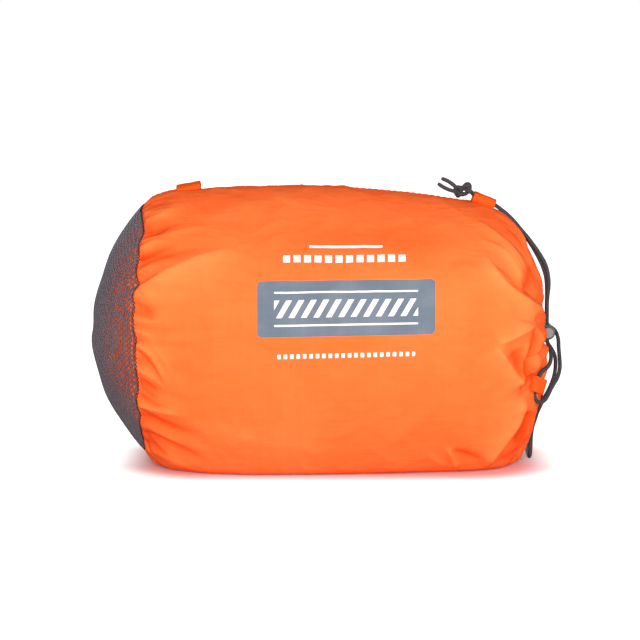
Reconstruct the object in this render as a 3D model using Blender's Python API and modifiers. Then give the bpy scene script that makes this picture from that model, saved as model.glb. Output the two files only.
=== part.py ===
"""Packed bothy bag: a stuffed shelter sack with a net end, sewn tabs, drawcord and cord lock.

Metres, +Z up. The sack lies on the ground along X, its gathered mouth towards +X and its
net end towards -X. The origin is on the ground under the middle of the sack.
"""
import bpy
import bmesh
import numpy as np
from math import cos, sin, pi, radians, sqrt, hypot
from mathutils import Matrix, Vector

# Sack
axis_height = 0.072        # height of the sack's long axis, where the mouth and roll are centred
sack_top = 0.0787          # from the axis up to the highest fabric
sack_side = 0.0820         # half the sack's depth at its fullest
seam_x = -0.0975           # where net and fabric meet
crest_x = 0.1204           # the fullest ring of the gathered end
mouth_x = 0.1130           # edge of the drawn-in fabric
mouth_radius = 0.0128
fabric_wall = 0.0008
ground_blend = 0.006       # how softly the underside meets its flat patch
seam_gap = 0.0003          # between sewn neighbours
pleat_count = 11
pleat_depth = 0.0013
pleat_from = 0.86          # where the pleats start, as a share of the way to the crest
pleat_swell = 0.8          # how quickly they deepen
sack_sides = 44
sack_rings = 24
ring_spread = 1.25         # the rings stand closer together towards the mouth
probe_run = 0.0004         # steps for reading the surface's direction
probe_turn = 0.01

# Outline of the sack from the net seam to the mouth, as shares of the sizes above:
# along (0 seam, 1 crest), up (of sack_top), down (of axis_height), across (of sack_side)
sack_outline = (
    (0.000, 0.884, 0.965, 0.823),
    (0.021, 0.930, 1.000, 0.866),
    (0.062, 0.958, 1.080, 0.909),
    (0.126, 0.968, 1.190, 0.945),
    (0.241, 0.986, 1.310, 0.982),
    (0.402, 0.994, 1.240, 1.000),
    (0.585, 0.972, 1.160, 0.994),
    (0.723, 0.930, 1.130, 0.963),
    (0.815, 0.890, 1.120, 0.927),
    (0.870, 0.849, 1.095, 0.890),
    (0.906, 0.793, 1.045, 0.848),
    (0.938, 0.717, 0.925, 0.793),
    (0.963, 0.595, 0.833, 0.701),
)
# The drawn-in end face, as (back from the crest, up, down, across) in metres from the axis
end_face = (
    (0.0034, 0.0375, 0.0480, 0.0470),
    (0.0010, 0.0300, 0.0360, 0.0365),
    (0.0000, 0.0250, 0.0285, 0.0285),
    (0.0004, 0.0215, 0.0230, 0.0230),
    (0.0022, 0.0185, 0.0190, 0.0190),
    (0.0049, 0.0158, 0.0158, 0.0158),
)

# Net end and its tape
net_bulge = 0.0277
net_wall = 0.0006
net_rings = 11
tape_width = 0.009         # half lies on the fabric and half on the net
tape_wall = 0.0006
tape_ends = (0.92, 0.08)   # its edges on the fabric, as shares of half its width

# Top seam
seam_width = 0.0042
seam_height = 0.0009
seam_start = -0.0925
seam_end = 0.0815
seam_steps = 20

# Tabs: tape folded into a loop, along the seam x outwards x proud of the fabric
tab_sides = 24
tab_power = 2.6            # how square its section is: 2 is an ellipse
tab_wall = 0.0009
tab_gap = 0.0003
rear_tab_x = -0.0722
rear_tab_width = 0.0130
rear_tab_spread = 0.0090
rear_tab_height = 0.0036
top_tab_x = 0.0885
top_tab_width = 0.0120
top_tab_spread = 0.0096
top_tab_height = 0.0052
top_tab_lift = 0.0005      # its two ends stand off the curved fabric
top_tab_lean = radians(4.5)    # how much steeper it lies than the fabric under it
side_tab_width = 0.0105
side_tab_length = 0.0150
side_tab_height = 0.0056
side_tab_along = 0.953     # place on the shoulder, as a share of the way to the crest
side_tab_angle = radians(201.0)
side_tab_turn = radians(-48.0)   # how far it points down from the way to the mouth

# Drawcord and the channel round the mouth
cord_radius = 0.0011
cord_spacing = 4 * cord_radius    # a point every two diameters
hem_radius = 0.0112
hem_bore = 0.0018
hem_wall = 0.0008
hem_half_opening = radians(30.0)
hem_pucker = 0.0005
hem_puckers = 14
hem_steps = 36
hem_sides = 8
channel_steps = 40

# Knot and tails
knot_centre = (0.0776, 0.0, 0.1482)
knot_size = (0.0098, 0.0082, 0.0070)
knot_ridge = 0.0007
knot_ridges = 3
knot_twist = 9.0           # how far the ridges turn along the knot
knot_sides = 14
knot_rows = 10
upper_tail = ((0.0729, 0.0014, 0.1505), (0.0708, 0.0017, 0.1522), (0.0682, 0.0018, 0.1537),
              (0.0656, 0.0016, 0.1547))
lower_tail = ((0.0724, -0.0016, 0.1478), (0.0702, -0.0024, 0.1485), (0.0678, -0.0028, 0.1495),
              (0.0654, -0.0026, 0.1508), (0.0636, -0.0020, 0.1521))

# Free runs of the drawcord, each from the channel to the knot
front_route = (
    (0.11575, 0.00985, 0.07734), (0.11575, 0.01090, 0.07552), (0.11680, 0.01200, 0.07410),
    (0.11900, 0.01300, 0.07370), (0.12200, 0.01360, 0.07360), (0.12600, 0.01390, 0.07260),
    (0.12990, 0.01140, 0.07020), (0.13140, 0.00560, 0.06640), (0.13120, -0.00080, 0.06170),
    (0.13080, -0.00750, 0.05720), (0.12990, -0.01500, 0.05320), (0.12840, -0.02300, 0.04990),
    (0.12630, -0.03050, 0.04720), (0.12400, -0.03680, 0.04460), (0.12220, -0.04090, 0.04160),
    (0.12110, -0.04290, 0.03820), (0.12000, -0.04450, 0.03510), (0.11790, -0.04700, 0.03330),
    (0.11560, -0.04960, 0.03360), (0.11430, -0.05080, 0.03560), (0.11450, -0.05055, 0.03770),
    (0.11515, -0.05010, 0.03920), (0.11695, -0.04857, 0.04384), (0.11880, -0.04700, 0.04850),
    (0.11960, -0.04630, 0.05050), (0.12040, -0.04480, 0.05230), (0.12140, -0.04080, 0.05400),
    (0.12200, -0.03400, 0.05470), (0.12250, -0.02600, 0.05520), (0.12330, -0.01800, 0.05610),
    (0.12450, -0.01050, 0.05790), (0.12480, -0.00450, 0.06070), (0.12400, -0.00160, 0.06400),
    (0.12390, -0.00130, 0.06700), (0.12390, -0.00130, 0.07200), (0.12390, -0.00130, 0.07700),
    (0.12390, -0.00130, 0.08200), (0.12390, -0.00130, 0.08700), (0.12420, -0.00130, 0.09100),
    (0.12470, -0.00130, 0.09600), (0.12430, -0.00140, 0.10180), (0.12280, -0.00150, 0.10750),
    (0.11980, -0.00160, 0.11300), (0.11600, -0.00170, 0.11850), (0.11260, -0.00170, 0.12290),
    (0.10920, -0.00170, 0.12730), (0.10560, -0.00170, 0.13190), (0.10240, -0.00160, 0.13510),
    (0.09930, -0.00160, 0.13780), (0.09630, -0.00150, 0.14030), (0.09300, -0.00150, 0.14195),
    (0.08900, -0.00150, 0.14350), (0.08540, -0.00150, 0.14485), (0.08320, -0.00160, 0.14575),
)
back_route = (
    (0.11575, 0.00985, 0.06666), (0.11575, 0.01090, 0.06848), (0.11670, 0.01230, 0.06960),
    (0.11890, 0.01430, 0.06940), (0.12090, 0.01670, 0.06720), (0.12210, 0.01980, 0.06280),
    (0.12260, 0.02320, 0.05620), (0.12320, 0.02720, 0.04820), (0.12430, 0.03050, 0.03970),
    (0.12460, 0.03250, 0.03100), (0.12240, 0.03350, 0.02000), (0.11960, 0.03320, 0.01100),
    (0.11760, 0.03150, 0.00450), (0.11650, 0.02850, 0.00170), (0.11600, 0.02350, 0.00125),
    (0.11560, 0.01700, 0.00120), (0.11530, 0.01000, 0.00120), (0.11510, 0.00350, 0.00120),
    (0.11500, -0.00180, 0.00135), (0.11500, -0.00550, 0.00320), (0.11510, -0.00730, 0.00700),
    (0.11530, -0.00660, 0.01120), (0.11580, -0.00420, 0.01500), (0.11690, -0.00120, 0.01880),
    (0.11850, 0.00160, 0.02280), (0.12070, 0.00360, 0.02740), (0.12340, 0.00450, 0.03280),
    (0.12620, 0.00470, 0.03860), (0.12860, 0.00450, 0.04520), (0.12900, 0.00400, 0.05120),
    (0.12740, 0.00300, 0.05680), (0.12520, 0.00190, 0.06080), (0.12400, 0.00140, 0.06420),
    (0.12390, 0.00130, 0.06700), (0.12390, 0.00130, 0.07200), (0.12390, 0.00130, 0.07700),
    (0.12390, 0.00130, 0.08200), (0.12390, 0.00130, 0.08650), (0.12360, 0.00160, 0.09050),
    (0.12290, 0.00230, 0.09500), (0.12190, 0.00310, 0.09980), (0.12000, 0.00370, 0.10560),
    (0.11750, 0.00410, 0.11140), (0.11450, 0.00420, 0.11760), (0.11150, 0.00400, 0.12300),
    (0.10880, 0.00350, 0.12780), (0.10550, 0.00290, 0.13200), (0.10240, 0.00220, 0.13520),
    (0.09930, 0.00170, 0.13780), (0.09630, 0.00150, 0.14030), (0.09300, 0.00150, 0.14195),
    (0.08900, 0.00150, 0.14350), (0.08540, 0.00150, 0.14485), (0.08325, 0.00160, 0.14575),
)

# Cord lock
lock_x = 0.1239
lock_y = 0.0
lock_height = 0.0708
barrel_radius = 0.0042
barrel_length = 0.0172
barrel_wall = 0.0009
barrel_floor = 0.0012
barrel_bevel = 0.0005
strand_spacing = 0.0026    # between the two strands in the lock, along its own axis
hole_clearance = 0.0003
plunger_clearance = 0.0002
plunger_travel = 0.0022
plunger_proud = 0.0030
spring_wire = 0.00035
spring_turns = 4
spring_slack = 1.15        # room for a coil when the spring is shut, over its own wire

# What is packed inside
roll_clearance = 0.0026    # from the sack's outer face to the rolled canopy
roll_pitch = 0.20          # one layer, as a share of the radius
roll_turns = 3.0
roll_lap = 0.8             # turns before the roll starts to wind inwards
layer_gap = 0.0006
roll_sides = 22            # points a turn
roll_steps = 8
seat_width = 0.040
seat_thickness = 0.0130
seat_length = 0.185
seat_corner = 0.004
seat_middle = -0.004       # x of the middle of what is packed in the roll
floor_turns = 0.3          # the last part of the roll, searched for what the panels rest on
floor_steps = 240
packed_gap = 0.0004
tube_sides = 20
window_radius = 0.0046
window_wall = 0.0010
window_length = 0.178
vent_radius = 0.0044
vent_wall = 0.0012
vent_length = 0.165


def clear_scene():
    for old in list(bpy.data.objects):
        bpy.data.objects.remove(old, do_unlink=True)


def collection(name):
    made = bpy.data.collections.new(name)
    bpy.context.scene.collection.children.link(made)
    return made


def material(name, colour, roughness, metallic=0.0):
    made = bpy.data.materials.new(name)
    made.use_nodes = True
    shader = made.node_tree.nodes["Principled BSDF"]
    shader.inputs["Base Color"].default_value = (*colour, 1.0)
    shader.inputs["Roughness"].default_value = roughness
    shader.inputs["Metallic"].default_value = metallic
    return made


def add_object(name, mesh, finish):
    made = bpy.data.objects.new(name, mesh)
    made.data.materials.append(finish)
    parts.objects.link(made)
    return made


def mesh_from(name, points, faces, smooth=True):
    mesh = bpy.data.meshes.new(name)
    mesh.from_pydata([tuple(p) for p in points], [], faces)
    shape = bmesh.new()
    shape.from_mesh(mesh)
    bmesh.ops.recalc_face_normals(shape, faces=shape.faces)
    shape.to_mesh(mesh)
    shape.free()
    if smooth:
        mesh.shade_smooth()
        mesh.set_sharp_from_angle(angle=radians(50))
    return mesh


def smooth_curve(stations, place):
    """Value of a smooth curve through (place, values...) stations, by Hermite steps."""
    rows = np.array(stations, float)
    at = rows[:, 0]
    slopes = np.gradient(rows[:, 1:], at, axis=0)
    k = int(np.clip(np.searchsorted(at, place) - 1, 0, len(at) - 2))
    span = at[k + 1] - at[k]
    t = (place - at[k]) / span
    a, b = rows[k, 1:], rows[k + 1, 1:]
    return ((2 * t**3 - 3 * t**2 + 1) * a + (t**3 - 2 * t**2 + t) * span * slopes[k]
            + (3 * t**2 - 2 * t**3) * b + (t**3 - t**2) * span * slopes[k + 1])


def sack_stations():
    """Rows of (distance along the outline, x, up, down, across) from the seam to the mouth."""
    rows = [(seam_x + along * (crest_x - seam_x), up * sack_top, down * axis_height, across * sack_side)
            for along, up, down, across in sack_outline]
    rows += [(crest_x - back, up, down, across) for back, up, down, across in end_face]
    rows.append((mouth_x, mouth_radius, mouth_radius, mouth_radius))
    placed, run = [], 0.0
    for k, row in enumerate(rows):
        if k:
            run += hypot(row[0] - rows[k - 1][0], row[1] - rows[k - 1][1])
        placed.append((run, *row))
    return placed


stations = sack_stations()
sack_run = stations[-1][0]


def run_at(x):
    """Distance along the outline where the fabric first reaches x."""
    low, high = 0.0, stations[len(sack_outline)][0]
    for _ in range(40):
        middle = (low + high) / 2
        if smooth_curve(stations, middle)[0] < x:
            low = middle
        else:
            high = middle
    return (low + high) / 2


def on_ground(height, floor):
    """Flattens what would sink below the floor, with a soft start."""
    above = height - floor
    if above > ground_blend:
        return height
    if above < -ground_blend:
        return floor
    return floor + (above + ground_blend) ** 2 / (4 * ground_blend)


def ring_point(x, up, down, across, angle, inset=0.0):
    """A point of one cross-section; the angle starts at +Y and turns up."""
    rise = (up if sin(angle) > 0 else down) - inset
    height = axis_height + rise * sin(angle)
    return Vector((x, (across - inset) * cos(angle), on_ground(height, inset)))


def sack_point(run, angle):
    x, up, down, across = smooth_curve(stations, run)
    return ring_point(x, up, down, across, angle)


def sack_normal(run, angle):
    run = min(max(run, probe_run), sack_run - probe_run)
    along = sack_point(run + probe_run, angle) - sack_point(run - probe_run, angle)
    around = sack_point(run, angle + probe_turn) - sack_point(run, angle - probe_turn)
    return around.cross(along).normalized()


def top_height(x):
    return axis_height + smooth_curve(stations, run_at(x))[1]


def build_sack(finish):
    pleat_start = run_at(seam_x + pleat_from * (crest_x - seam_x))
    points = []
    spans = sack_rings - 2
    first = tape_width / 2
    runs = [0.0]
    runs += [first + (sack_run - first) * (1 - (1 - k / spans) ** ring_spread) for k in range(spans + 1)]
    for run in runs:
        grown = max(0.0, (run - pleat_start) / (sack_run - pleat_start))
        swell = sin(pi * min(1.0, grown)) ** pleat_swell if grown else 0.0
        for j in range(sack_sides):
            angle = 2 * pi * j / sack_sides
            wave = -0.5 - 0.5 * cos(pleat_count * (angle - pi / 2))
            place = sack_point(run, angle)
            points.append(place + sack_normal(run, angle) * pleat_depth * swell * wave)
    faces = [(k * sack_sides + j, k * sack_sides + (j + 1) % sack_sides,
              (k + 1) * sack_sides + (j + 1) % sack_sides, (k + 1) * sack_sides + j)
             for k in range(sack_rings - 1) for j in range(sack_sides)]
    sack = add_object("sack_body", mesh_from("sack_body", points, faces), finish)
    wall = sack.modifiers.new("wall", "SOLIDIFY")
    wall.thickness = fabric_wall
    wall.offset = -1
    return sack


def asin_clamped(value):
    return float(np.arcsin(np.clip(value, -1.0, 1.0)))


def net_centre():
    """Height and half-sizes of the net's rim, which is the sack's first ring."""
    x, up, down, across = smooth_curve(stations, 0.0)
    return up, down, across


def net_point(share, angle, inset=0.0):
    """A point of the net dome: share 1 at the rim and 0 at its middle."""
    up, down, across = net_centre()
    ball = (up**2 + net_bulge**2) / (2 * net_bulge)
    depth = sqrt(max(0.0, ball**2 - (share * up) ** 2)) - (ball - net_bulge)
    tilt = asin_clamped(share * up / ball)
    x = seam_x - seam_gap - depth + inset * cos(tilt)
    shrink = 1 - inset * sin(tilt) / (share * up) if share else 1.0
    rise = (up if sin(angle) > 0 else down) * share * shrink
    height = on_ground(axis_height + rise * sin(angle), inset)
    return Vector((x, across * share * shrink * cos(angle), height))


def build_net(finish):
    points, faces = [], []
    for k in range(net_rings):
        share = 1 - k / net_rings
        points += [net_point(share, 2 * pi * j / sack_sides) for j in range(sack_sides)]
    points.append(net_point(0.0, 0.0))
    for k in range(net_rings - 1):
        faces += [(k * sack_sides + j, k * sack_sides + (j + 1) % sack_sides,
                   (k + 1) * sack_sides + (j + 1) % sack_sides, (k + 1) * sack_sides + j)
                  for j in range(sack_sides)]
    last = (net_rings - 1) * sack_sides
    faces += [(last + j, last + (j + 1) % sack_sides, len(points) - 1) for j in range(sack_sides)]
    net = add_object("net_end", mesh_from("net_end", points, faces), finish)
    wall = net.modifiers.new("wall", "SOLIDIFY")
    wall.thickness = net_wall
    wall.offset = -1
    return net


def closed_band(name, rows_outside, rows_inside, finish):
    """A closed ring of wall between two sets of rings, each a list of points round the axis."""
    rows = rows_outside + rows_inside[::-1]
    count = len(rows[0])
    points = [p for row in rows for p in row]
    faces = []
    for k in range(len(rows)):
        nxt = (k + 1) % len(rows)
        faces += [(k * count + j, k * count + (j + 1) % count, nxt * count + (j + 1) % count, nxt * count + j)
                  for j in range(count)]
    return add_object(name, mesh_from(name, points, faces), finish)


def build_net_tape(finish):
    """The tape lies inside the join, half on the fabric and half on the net."""
    angles = [2 * pi * j / sack_sides for j in range(sack_sides)]
    seam, edge = smooth_curve(stations, 0.0), smooth_curve(stations, tape_width / 2)
    lean = hypot(edge[0] - seam[0], edge[1] - seam[1]) / (edge[0] - seam[0])
    rim = net_centre()[0]
    net_shares = (1 - seam_gap / rim, 1 - tape_width / 2 / rim)

    def rows(extra):
        inset = (fabric_wall + seam_gap + extra) * lean
        made = []
        for share in tape_ends:
            x, top, low, across = seam + (edge - seam) * share
            made.append([ring_point(x, top, low, across, a, inset) for a in angles])
        net_inset = net_wall + seam_gap + extra
        made += [[net_point(share, a, net_inset) for a in angles] for share in net_shares]
        return made

    return closed_band("net_seam_tape", rows(0.0), rows(tape_wall), finish)


def swept(name, rows, finish, closed=False):
    """A solid through rows of matching points, capped at both ends unless it closes on itself."""
    count = len(rows[0])
    points = [p for row in rows for p in row]
    spans = len(rows) if closed else len(rows) - 1
    faces = []
    for k in range(spans):
        nxt = (k + 1) % len(rows)
        faces += [(k * count + j, k * count + (j + 1) % count, nxt * count + (j + 1) % count, nxt * count + j)
                  for j in range(count)]
    if not closed:
        last = (len(rows) - 1) * count
        faces += [tuple(range(count)), tuple(last + j for j in range(count))]
    return add_object(name, mesh_from(name, points, faces), finish)


def build_top_seam(finish):
    half = seam_width / 2
    edge = seam_height / 3
    section = ((-half, 0.0), (-half, seam_height - edge), (-half + edge, seam_height),
               (half - edge, seam_height), (half, seam_height - edge), (half, 0.0))
    rows = []
    for k in range(seam_steps + 1):
        x = seam_start + (seam_end - seam_start) * k / seam_steps
        base = top_height(x) + seam_gap
        rows.append([(x, y, base + z) for y, z in section])
    return swept("top_seam", rows, finish)


def oval(width, height, count=tab_sides, power=tab_power):
    """Points of a soft-cornered oval standing on its lowest point, in its own two axes."""
    made = []
    for j in range(count):
        a = 2 * pi * j / count
        made.append((width / 2 * np.sign(cos(a)) * abs(cos(a)) ** (2 / power),
                     height / 2 * (1 + np.sign(sin(a)) * abs(sin(a)) ** (2 / power))))
    return made


def sleeve(name, outside, inside, length, place, finish):
    """A tube of any outline: the outlines lie in local X and Y, and the bore runs along local Z."""
    rows = [(outside, -length / 2), (outside, length / 2), (inside, length / 2), (inside, -length / 2)]
    placed = [[place @ Vector((a, b, z)) for a, b in line] for line, z in rows]
    return swept(name, placed, finish, closed=True)


def tape_loop(name, spread, height, width, place, finish):
    inner = [(a, b + tab_wall) for a, b in oval(spread - 2 * tab_wall, height - 2 * tab_wall)]
    return sleeve(name, oval(spread, height), inner, width, place, finish)


def frame_at(origin, across, up):
    """Matrix with local X across, local Y up and local Z along their cross product."""
    across, up = Vector(across).normalized(), Vector(up).normalized()
    along = across.cross(up)
    made = Matrix((across, up, along)).transposed().to_4x4()
    made.translation = origin
    return made


def seam_tab_place(x, lift, lean=0.0):
    """Where a tab stands on the top of the sack, leaning with the fabric's slope."""
    slope = (top_height(x + 0.002) - top_height(x - 0.002)) / 0.004
    up = Matrix.Rotation(lean, 3, "Y") @ Vector((-slope, 0, 1)).normalized()
    return frame_at(Vector((x, 0, top_height(x))) + up * (lift + tab_gap), (0, 1, 0), up)


def side_tab_place():
    """The side tab lies on the shoulder, its fold towards the mouth and its bore down the end."""
    run = run_at(seam_x + side_tab_along * (crest_x - seam_x))
    reach = hypot(sack_point(run, side_tab_angle).y, sack_point(run, side_tab_angle).z - axis_height)

    def under(along, across):
        step_run = along * cos(side_tab_turn) - across * sin(side_tab_turn)
        step_turn = (along * sin(side_tab_turn) + across * cos(side_tab_turn)) / reach
        return sack_point(run + step_run, side_tab_angle - step_turn)

    base = under(0, 0)
    along = (under(side_tab_length, 0) - base).normalized()
    out = along.cross(under(side_tab_length / 2, 0.001) - under(side_tab_length / 2, -0.001))
    out.normalize()
    if out.x < 0:
        out = -out
    half = side_tab_width / 2
    bulge = max((under(side_tab_length * t, across) - base).dot(out)
                for t in (0.1, 0.3, 0.5, 0.7, 0.9) for across in (-half, 0, half))
    origin = base + along * side_tab_length / 2 + out * (bulge + tab_gap)
    return frame_at(origin, along, out)


def tube(name, route, radius, finish):
    """A free cord: a poly spline read from a smooth curve through the route's points."""
    rows, run = [], 0.0
    for k, p in enumerate(route):
        if k:
            run += (Vector(p) - Vector(route[k - 1])).length
        rows.append((run, *p))
    steps = max(2, round(run / cord_spacing))
    straight = 2 * radius
    places = sorted({0.0, straight, *(run * k / steps for k in range(1, steps)), run - straight, run})
    curve = bpy.data.curves.new(name, "CURVE")
    curve.dimensions = "3D"
    curve.bevel_depth = radius
    curve.bevel_resolution = 2
    curve.use_fill_caps = True
    line = curve.splines.new("POLY")
    line.points.add(len(places) - 1)
    for point, place in zip(line.points, places):
        point.co = (*smooth_curve(rows, place), 1.0)
    return add_object(name, curve, finish)


def hem_point(angle, side, radius):
    """A point of the channel's wall: angle round the mouth, side round the channel."""
    reach = hem_radius + radius * cos(side)
    centre = mouth_x + hem_bore + hem_wall + seam_gap / 2
    return (centre + radius * sin(side), reach * cos(angle), axis_height + reach * sin(angle))


def build_hem(finish):
    outer, inner = [], []
    for k in range(hem_steps + 1):
        angle = hem_half_opening + (2 * pi - 2 * hem_half_opening) * k / hem_steps
        bulge = hem_pucker * abs(sin(hem_puckers * angle / 2))
        outer.append([hem_point(angle, 2 * pi * j / hem_sides, hem_bore + hem_wall + bulge - hem_pucker)
                      for j in range(hem_sides)])
        inner.append([hem_point(angle, 2 * pi * j / hem_sides, hem_bore) for j in range(hem_sides)])
    return swept("mouth_hem", outer + inner[::-1], finish, closed=True)


def build_channel_cord(finish):
    route = []
    for k in range(channel_steps + 1):
        angle = hem_half_opening + (2 * pi - 2 * hem_half_opening) * k / channel_steps
        centre = mouth_x + hem_bore + hem_wall + seam_gap / 2
        route.append((centre, hem_radius * cos(angle), axis_height + hem_radius * sin(angle)))
    return tube("channel_cord", route, cord_radius, finish)


def cylinder(name, radius, length, centre, finish=None, vertices=28):
    """A cylinder along Y."""
    mesh = bpy.data.meshes.new(name)
    shape = bmesh.new()
    bmesh.ops.create_cone(shape, cap_ends=True, segments=vertices, radius1=radius, radius2=radius,
                          depth=length, matrix=Matrix.Rotation(pi / 2, 4, "X"))
    shape.to_mesh(mesh)
    shape.free()
    made = bpy.data.objects.new(name, mesh)
    (parts if finish else cutters).objects.link(made)
    made.location = centre
    if finish:
        mesh.materials.append(finish)
        mesh.shade_smooth()
        mesh.set_sharp_from_angle(angle=radians(40))
    return made


def block(name, size, centre):
    mesh = bpy.data.meshes.new(name)
    shape = bmesh.new()
    bmesh.ops.create_cube(shape, size=1.0, matrix=Matrix.Diagonal((*size, 1.0)))
    shape.to_mesh(mesh)
    shape.free()
    made = bpy.data.objects.new(name, mesh)
    cutters.objects.link(made)
    made.location = centre
    return made


def cut(piece, cutter):
    cutter.hide_render = True
    cutter.display_type = "WIRE"
    change = piece.modifiers.new(cutter.name, "BOOLEAN")
    change.operation = "DIFFERENCE"
    change.object = cutter


def bevel(piece, width, segments=2):
    change = piece.modifiers.new("edges", "BEVEL")
    change.width = width
    change.segments = segments
    change.limit_method = "ANGLE"
    change.angle_limit = radians(40)


def build_lock(shell, button, steel):
    """Barrel, plunger and spring along Y; both strands pass through upright, one behind the other."""
    half_hole = strand_spacing / 2 + cord_radius + hole_clearance
    hole_width = 2 * (cord_radius + hole_clearance)
    plunger_back = half_hole + barrel_wall
    coil = 2 * spring_wire
    spring_room = plunger_travel + spring_turns * coil * spring_slack
    bore_end = plunger_back + spring_room
    front = bore_end + barrel_floor - barrel_length
    middle = Vector((lock_x, lock_y, lock_height))

    barrel = cylinder("lock_barrel", barrel_radius, barrel_length,
                      middle + Vector((0, front + barrel_length / 2, 0)), shell)
    bevel(barrel, barrel_bevel)
    bore_radius = barrel_radius - barrel_wall
    bore_length = bore_end - front + barrel_wall
    bore = cylinder("bore_cutter", bore_radius, bore_length,
                    middle + Vector((0, bore_end - bore_length / 2, 0)))
    cut(barrel, bore)
    hole = block("strand_cutter", (hole_width, 2 * half_hole, 4 * barrel_radius), middle)
    cut(barrel, hole)

    plunger_front = front - plunger_proud
    plunger_length = plunger_back - plunger_front
    plunger = cylinder("lock_plunger", bore_radius - plunger_clearance, plunger_length,
                       middle + Vector((0, plunger_front + plunger_length / 2, 0)), button)
    bevel(plunger, barrel_bevel)
    slot_length = 2 * half_hole + plunger_travel
    slot = block("plunger_cutter", (hole_width, slot_length, 4 * barrel_radius),
                 middle - Vector((0, plunger_travel / 2, 0)))
    cut(plunger, slot)

    turn_points = 10
    spring_radius = bore_radius - plunger_clearance - 2 * spring_wire
    reach = spring_room - coil - 2 * packed_gap
    start = plunger_back + packed_gap + spring_wire
    route = []
    for k in range(spring_turns * turn_points + 1):
        angle = 2 * pi * k / turn_points
        route.append(middle + Vector((spring_radius * cos(angle),
                                      start + reach * k / (spring_turns * turn_points),
                                      spring_radius * sin(angle))))
    curve = bpy.data.curves.new("lock_spring", "CURVE")
    curve.dimensions = "3D"
    curve.bevel_depth = spring_wire
    curve.bevel_resolution = 1
    curve.use_fill_caps = True
    line = curve.splines.new("POLY")
    line.points.add(len(route) - 1)
    for k, p in enumerate(route):
        line.points[k].co = (*p, 1.0)
    add_object("lock_spring", curve, steel)


def roll_layer(turn):
    """Outer share of the roll's radius at a number of turns from its free edge."""
    return 1 - roll_pitch * max(0.0, turn - roll_lap)


def roll_ends(share):
    """First and last x of the canopy at a share of the radius: domed both ways."""
    up = net_centre()[0]
    ball = (up**2 + net_bulge**2) / (2 * net_bulge)
    first = seam_x - (sqrt(ball**2 - (share * up) ** 2) - (ball - net_bulge)) + roll_clearance
    places = [seam_x + row[0] * (crest_x - seam_x) for row in sack_outline[-6:]]
    shares = [row[1] / sack_outline[-6][1] for row in sack_outline[-6:]]
    last = float(np.interp(-share, [-s for s in shares], places)) - 2 * roll_clearance
    return first, min(last, mouth_x - 2 * roll_clearance)


def roll_point(x, share, angle):
    """A point inside the sack at a share of its radius there; the ends keep the full section."""
    inside = run_at(min(max(x, seam_x + 0.001), seam_x + sack_outline[-6][0] * (crest_x - seam_x)))
    _, up, down, across = smooth_curve(stations, inside)
    clear = roll_clearance
    rise = (up if sin(angle) > 0 else min(down, axis_height)) - clear
    height = on_ground(axis_height + rise * share * sin(angle), clear)
    return Vector((x, (across - clear) * share * cos(angle), height))


def build_canopy(finish):
    """One sheet wound into a roll, its layers thickening to fill the sack."""
    count = round(roll_turns * roll_sides)
    gap = layer_gap / sack_side
    line = []
    for k in range(count + 1):
        turn = roll_turns * k / count
        line.append((roll_layer(turn), turn))
    for k in range(count, -1, -1):
        turn = roll_turns * k / count
        line.append((roll_layer(turn + 1) + gap, turn))
    rows = []
    for step in range(roll_steps + 1):
        row = []
        for share, turn in line:
            first, last = roll_ends(share)
            x = first + (last - first) * step / roll_steps
            row.append(roll_point(x, share, -pi / 2 - 2 * pi * turn))
        rows.append(row)
    count = len(line)
    points = [p for row in rows for p in row]
    faces = [(k * count + j, k * count + (j + 1) % count, (k + 1) * count + (j + 1) % count,
              (k + 1) * count + j) for k in range(roll_steps) for j in range(count)]
    last_row = roll_steps * count
    for j in range(count // 2 - 1):
        a, b, c, d = j, j + 1, count - 2 - j, count - 1 - j
        faces.append((a, b, c, d))
        faces.append((last_row + a, last_row + b, last_row + c, last_row + d))
    return add_object("canopy_roll", mesh_from("canopy_roll", points, faces), finish)


def core_floor(x, across):
    """How far the roll's innermost face lies below the axis, at a distance towards +Y."""
    for k in range(floor_steps):
        turn = roll_turns - floor_turns * k / floor_steps
        place = roll_point(x, roll_layer(turn + 1) + layer_gap / sack_side, -pi / 2 - 2 * pi * turn)
        if place.y >= across:
            return axis_height - place.z
    return 0.0


def build_packed(panel, film, vent):
    """Two folded seat panels lie in the heart of the roll, with the window and vent rolled on top."""
    rounding = seat_corner * (1 - sqrt(0.5))    # how far the rounded corner stands back
    reach = seat_length / 2 - seat_corner / 2
    ends = (seat_middle - reach, seat_middle + reach)
    drop = min(core_floor(x, seat_width / 2 - rounding) for x in ends) + rounding - packed_gap
    floor = axis_height - drop
    for k, name in enumerate(("seat_panel_lower", "seat_panel_upper")):
        mesh = bpy.data.meshes.new(name)
        shape = bmesh.new()
        bmesh.ops.create_cube(shape, size=1.0,
                              matrix=Matrix.Diagonal((seat_length, seat_width, seat_thickness, 1.0)))
        shape.to_mesh(mesh)
        shape.free()
        pad = add_object(name, mesh, panel)
        pad.location = (seat_middle, 0, floor + seat_thickness / 2 + k * (seat_thickness + packed_gap))
        bevel(pad, seat_corner, 3)
    rest = floor + 2 * (seat_thickness + packed_gap)
    for name, radius, wall, length, side, finish in (
            ("window_roll", window_radius, window_wall, window_length, -1, film),
            ("vent_sleeve", vent_radius, vent_wall, vent_length, 1, vent)):
        place = frame_at(Vector((seat_middle, side * (radius + packed_gap), rest)), (0, 1, 0), (0, 0, 1))
        hollow = 2 * (radius - wall)
        inner = [(a, b + wall) for a, b in oval(hollow, hollow, tube_sides, 2)]
        sleeve(name, oval(2 * radius, 2 * radius, tube_sides, 2), inner, length, place, finish)


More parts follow.
